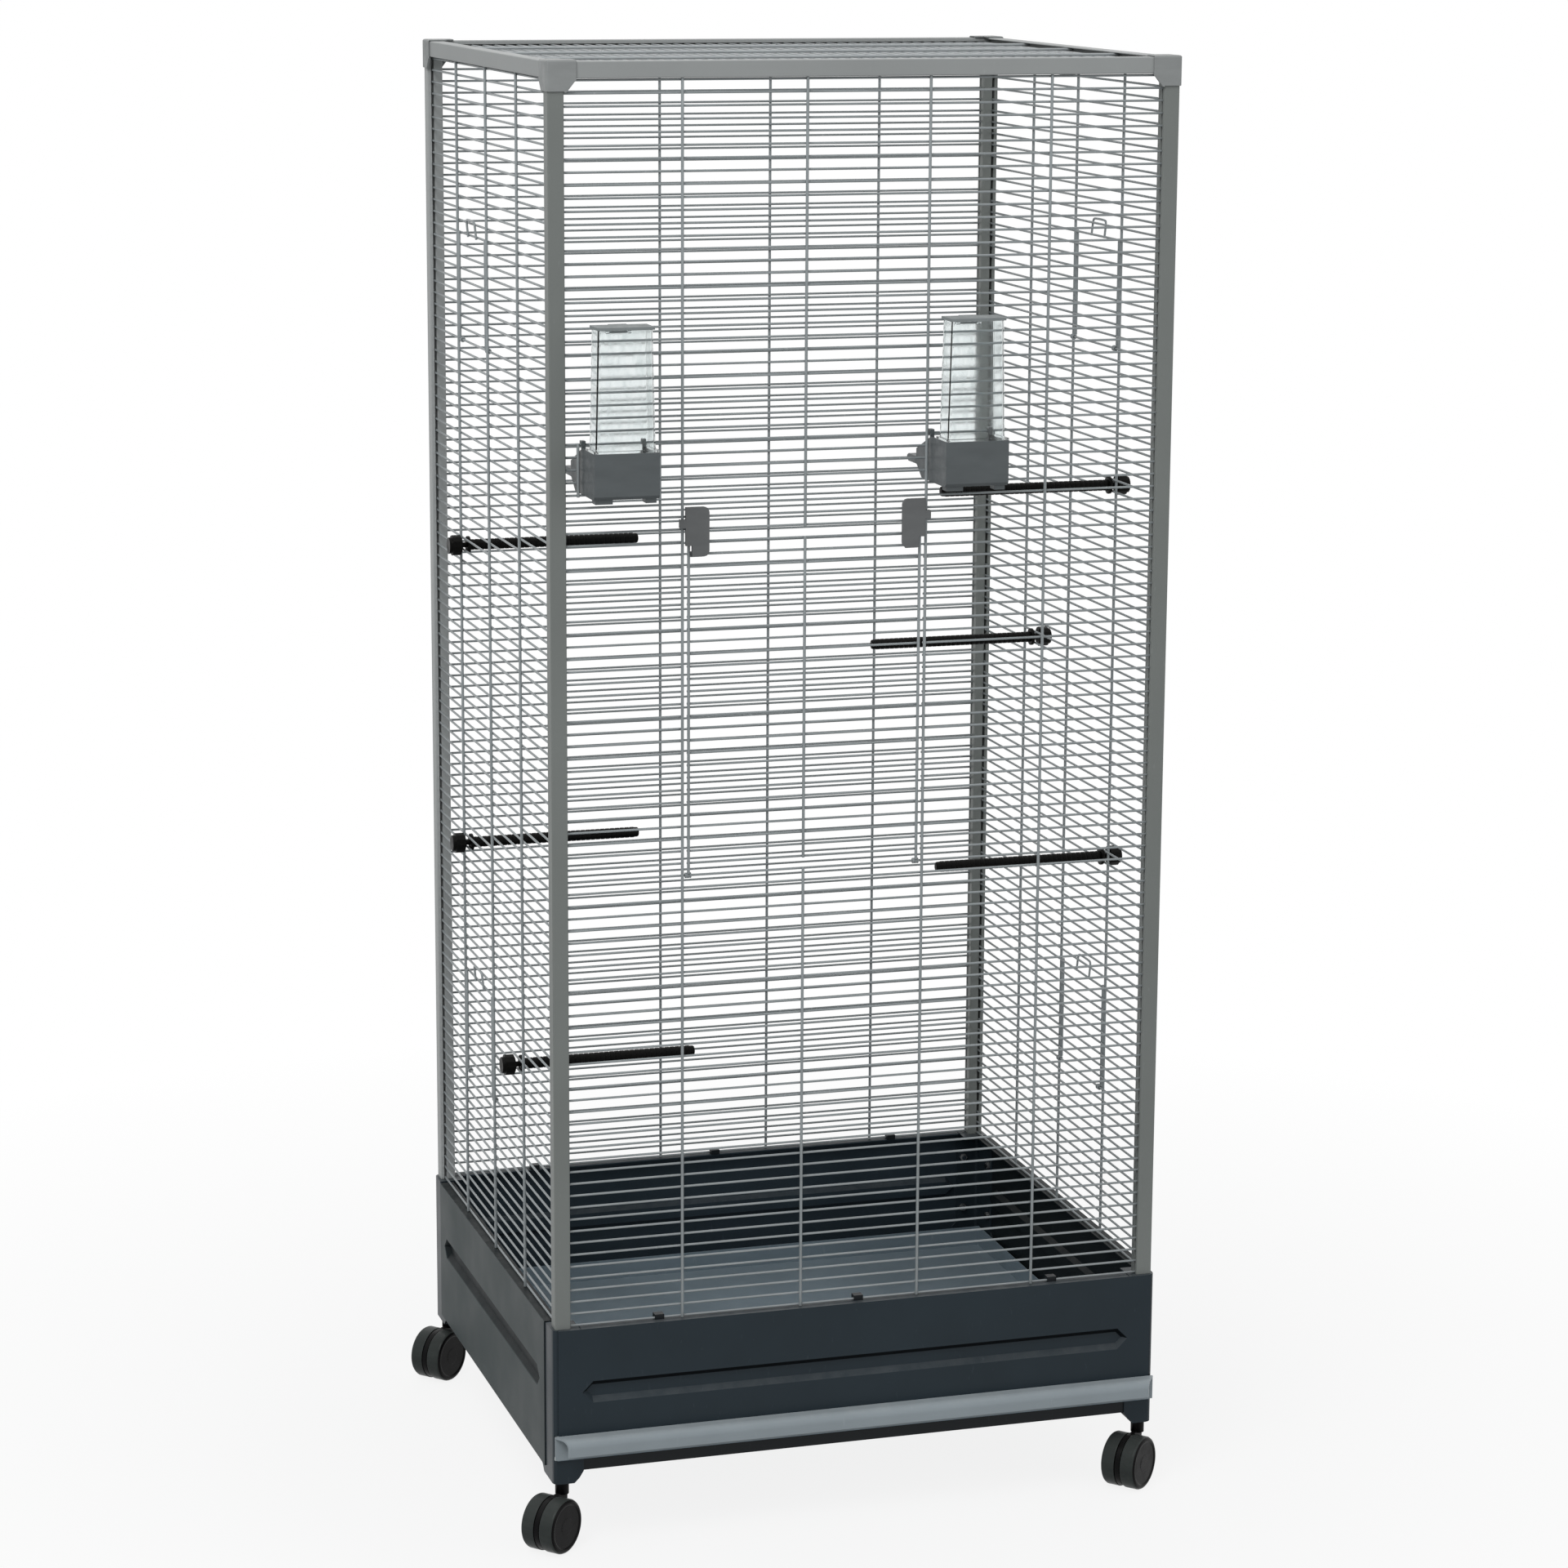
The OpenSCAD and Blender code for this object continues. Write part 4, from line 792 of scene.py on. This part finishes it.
roundOver = {        # rounding, finish and slot by the start of a node's name, of which the first that fits is used
    # the base panels and legs take lit and shaded copies of one paint: painted shade on front and legs, painted light
    # on sides and back
    "base_front": (0.0005, "baseDark", "base_dark"),
    "base_back": (0.0005, "baseBack", "base_dark"),
    "base_left": (0.0005, "baseSide", "base_side"),
    "base_right": (0.0005, "baseSide", "base_side"),
    "leg_": (0.0004, "baseDark", "base_dark"),
    "lower_front_rail": (0.0005, "baseShade", "base_dark"),
    "tray_runners": (0.0004, "baseShade", "base_dark"),
    "rim_clips": (0.0005, "baseShade", "base_dark"),
    "base_nuts": (0.0003, "zinc", "zinc"),
    "tray_pan": (0.0004, "trayGrey", "tray_grey"),
    "tray_pull": (0.0004, "pullGrey", "pull_grey"),
    # the back-left post gets the tube paint with painted light on it
    "post_back_left": (0.0002, "paleTube", "frame_tube"),
    "post_": (0.0002, "frameTube", "frame_tube"),
    "top_rail": (0.0002, "railGrey", "frame_tube"),
    "corner_joints": (0.0006, "jointGrey", "joint_plastic"),
    "feeder_trough": (0.0006, "troughGrey", "trough_plastic"),
    "feeder_hopper": (0.0003, "clear", "clear_plastic"),
    "feeder_lid": (0.0006, "lidGrey", "lid_plastic"),
    "door_latch": (0.0005, "latchGrey", "latch_plastic"),
    "perch_knobs": (0.0006, "perchBlack", "black_plastic"),
    "caster_fork": (0.0005, "casterBlack", "caster_black"),
    "wheel_": (0.0004, "wheelBlack", "wheel_black"),
}
wheelAxis = (0.6691, -0.7431, 0)        # the axle's direction as the casters stand
flatSide = 0.6        # cosine of the angle to the axle above which a face is a flat side


# 1 on the faces of a wheel that roll, which get a painted highlight, 0 on its flat sides
def markTread(obj, axis):
    axis = Vector(axis).normalized()
    tread = obj.data.attributes.new("tread", "FLOAT", "FACE")
    for face, mark in zip(obj.data.polygons, tread.data):
        mark.value = 0.0 if abs(face.normal.dot(axis)) > flatSide else 1.0


bodyOf = {node: body for body, members in frame["record"]["behaviour"]["bodies"].items() for node in members}
rounded = 0
for node in list(cadNodes):
    for start, (width, finish, slot) in roundOver.items():
        if node.startswith(start):
            made = roundedCopy(node, node + "_rounded", width)
            if start == "wheel_":
                markTread(made, wheelAxis)
            dress(made, bodyOf[node], [node], finishes[finish], smoothBelow["moulded"], evenFaces=True)
            rounded += 1
            break
print("rounded forms ready:", rounded)


# floor, light and camera

studio = {
    "floorSize": 24.0,
    "floorColour": "#c4c5c5",
    "nearGlow": 0.86,        # how white the camera sees the floor beside the cage, 1 = pure white
    "fadeFrom": 0.5,        # the floor turns pure white between these distances
    "fadeTo": 1.5,
    "skyStrength": 0.68,
    "lamps": {        # place, aim, size, power
        "key": ((-2.2, -2.4, 4.4), (0, 0, 0.6), (2.2, 2.2), 120.0),
        "fill": ((2.8, -3.2, 1.8), (0, 0, 0.6), (2.5, 2.5), 16.0),
        "rim": ((0.8, 3.2, 3.0), (0, 0, 0.8), (2.5, 1.5), 10.0),
    },
}


# 1 for rays that should meet a plain white surrounding
def seenDirectly(tree, x, y):
    rays = addNode(tree, "ShaderNodeLightPath", x, y)
    seen = rays.outputs["Is Camera Ray"]
    for step, ray in enumerate(("Is Glossy Ray", "Is Transmission Ray")):
        either = addNode(tree, "ShaderNodeMath", x + 200 + 200 * step, y, operation="MAXIMUM")
        tree.links.new(seen, either.inputs[0])
        tree.links.new(rays.outputs[ray], either.inputs[1])
        seen = either.outputs[0]
    return seen


def paleSurface():
    material = bpy.data.materials.new("paleFloor")
    material.use_nodes = True
    tree = material.node_tree
    shader = tree.nodes["Principled BSDF"]
    shader.inputs["Base Color"].default_value = linearColour(studio["floorColour"])
    shader.inputs["Roughness"].default_value = 0.9
    shader.inputs["Specular IOR Level"].default_value = 0.1
    glow = addNode(tree, "ShaderNodeEmission", 0, -200)
    glow.inputs["Color"].default_value = (1, 1, 1, 1)
    away = addNode(tree, "ShaderNodeVectorMath", -600, 300, operation="LENGTH")
    tree.links.new(addNode(tree, "ShaderNodeTexCoord", -800, 300).outputs["Object"], away.inputs[0])
    fade = spread(tree, away.outputs["Value"], studio["nearGlow"], 1.0, -400, 300,
                  studio["fadeFrom"], studio["fadeTo"])
    amount = addNode(tree, "ShaderNodeMath", 0, 300, operation="MULTIPLY")
    tree.links.new(seenDirectly(tree, -900, 600), amount.inputs[0])
    tree.links.new(fade, amount.inputs[1])
    blend = addNode(tree, "ShaderNodeMixShader", 300, 100)
    tree.links.new(amount.outputs[0], blend.inputs[0])
    tree.links.new(shader.outputs[0], blend.inputs[1])
    tree.links.new(glow.outputs[0], blend.inputs[2])
    tree.links.new(blend.outputs[0], tree.nodes["Material Output"].inputs["Surface"])
    return material


def addFloor():
    size = studio["floorSize"]
    bpy.ops.mesh.primitive_plane_add(size=size, location=(0, 0, 0))
    floor = bpy.context.object
    floor.name = "studioFloor"
    floor.data.materials.append(paleSurface())


def addLamp(name, place, aim, size, power):
    data = bpy.data.lights.new(name, "AREA")
    data.shape = "RECTANGLE"
    data.size, data.size_y = size
    data.energy = power
    lamp = bpy.data.objects.new(name, data)
    bpy.context.collection.objects.link(lamp)
    lamp.location = place
    lamp.rotation_euler = (Vector(aim) - Vector(place)).to_track_quat("-Z", "Y").to_euler()


def addSky():
    world = bpy.data.worlds.new("studioSky")
    bpy.context.scene.world = world
    world.use_nodes = True
    tree = world.node_tree
    sky = tree.nodes["Background"]
    sky.inputs["Color"].default_value = (1, 1, 1, 1)
    sky.inputs["Strength"].default_value = studio["skyStrength"]
    backdrop = addNode(tree, "ShaderNodeBackground", 0, 200)
    backdrop.inputs["Color"].default_value = (1, 1, 1, 1)
    backdrop.inputs["Strength"].default_value = 1.0
    choose = addNode(tree, "ShaderNodeMixShader", 200, 100)
    tree.links.new(seenDirectly(tree, -700, 300), choose.inputs[0])
    tree.links.new(sky.outputs[0], choose.inputs[1])
    tree.links.new(backdrop.outputs[0], choose.inputs[2])
    tree.links.new(choose.outputs[0], tree.nodes["World Output"].inputs["Surface"])


view = {        # angles in radians
    "turn": 0.2988,        # to the right of straight ahead
    "down": 0.2106,
    "roll": 0.0053,
    "distance": 4.131,
    "aim": (0, 0.001, 0.6612),
    "lens": 96.93,        # for the sensor's width below
    "sensor": 36.0,
}


def addCamera():
    data = bpy.data.cameras.new("photoCamera")
    data.sensor_width = view["sensor"]
    data.lens = view["lens"]
    data.dof.use_dof = False
    camera = bpy.data.objects.new("photoCamera", data)
    bpy.context.collection.objects.link(camera)
    turn, down = view["turn"], view["down"]
    look = Vector((math.sin(turn) * math.cos(down), math.cos(turn) * math.cos(down), -math.sin(down)))
    camera.location = Vector(view["aim"]) - look * view["distance"]
    camera.rotation_mode = "QUATERNION"
    facing = look.to_track_quat("-Z", "Y")
    camera.rotation_quaternion = facing @ Matrix.Rotation(view["roll"], 4, "Z").to_quaternion()
    bpy.context.scene.camera = camera


addFloor()
addSky()
for name, (place, aim, size, power) in studio["lamps"].items():
    addLamp(name, place, aim, size, power)
addCamera()
bpy.context.scene.view_settings.view_transform = "Standard"
print("studio ready")
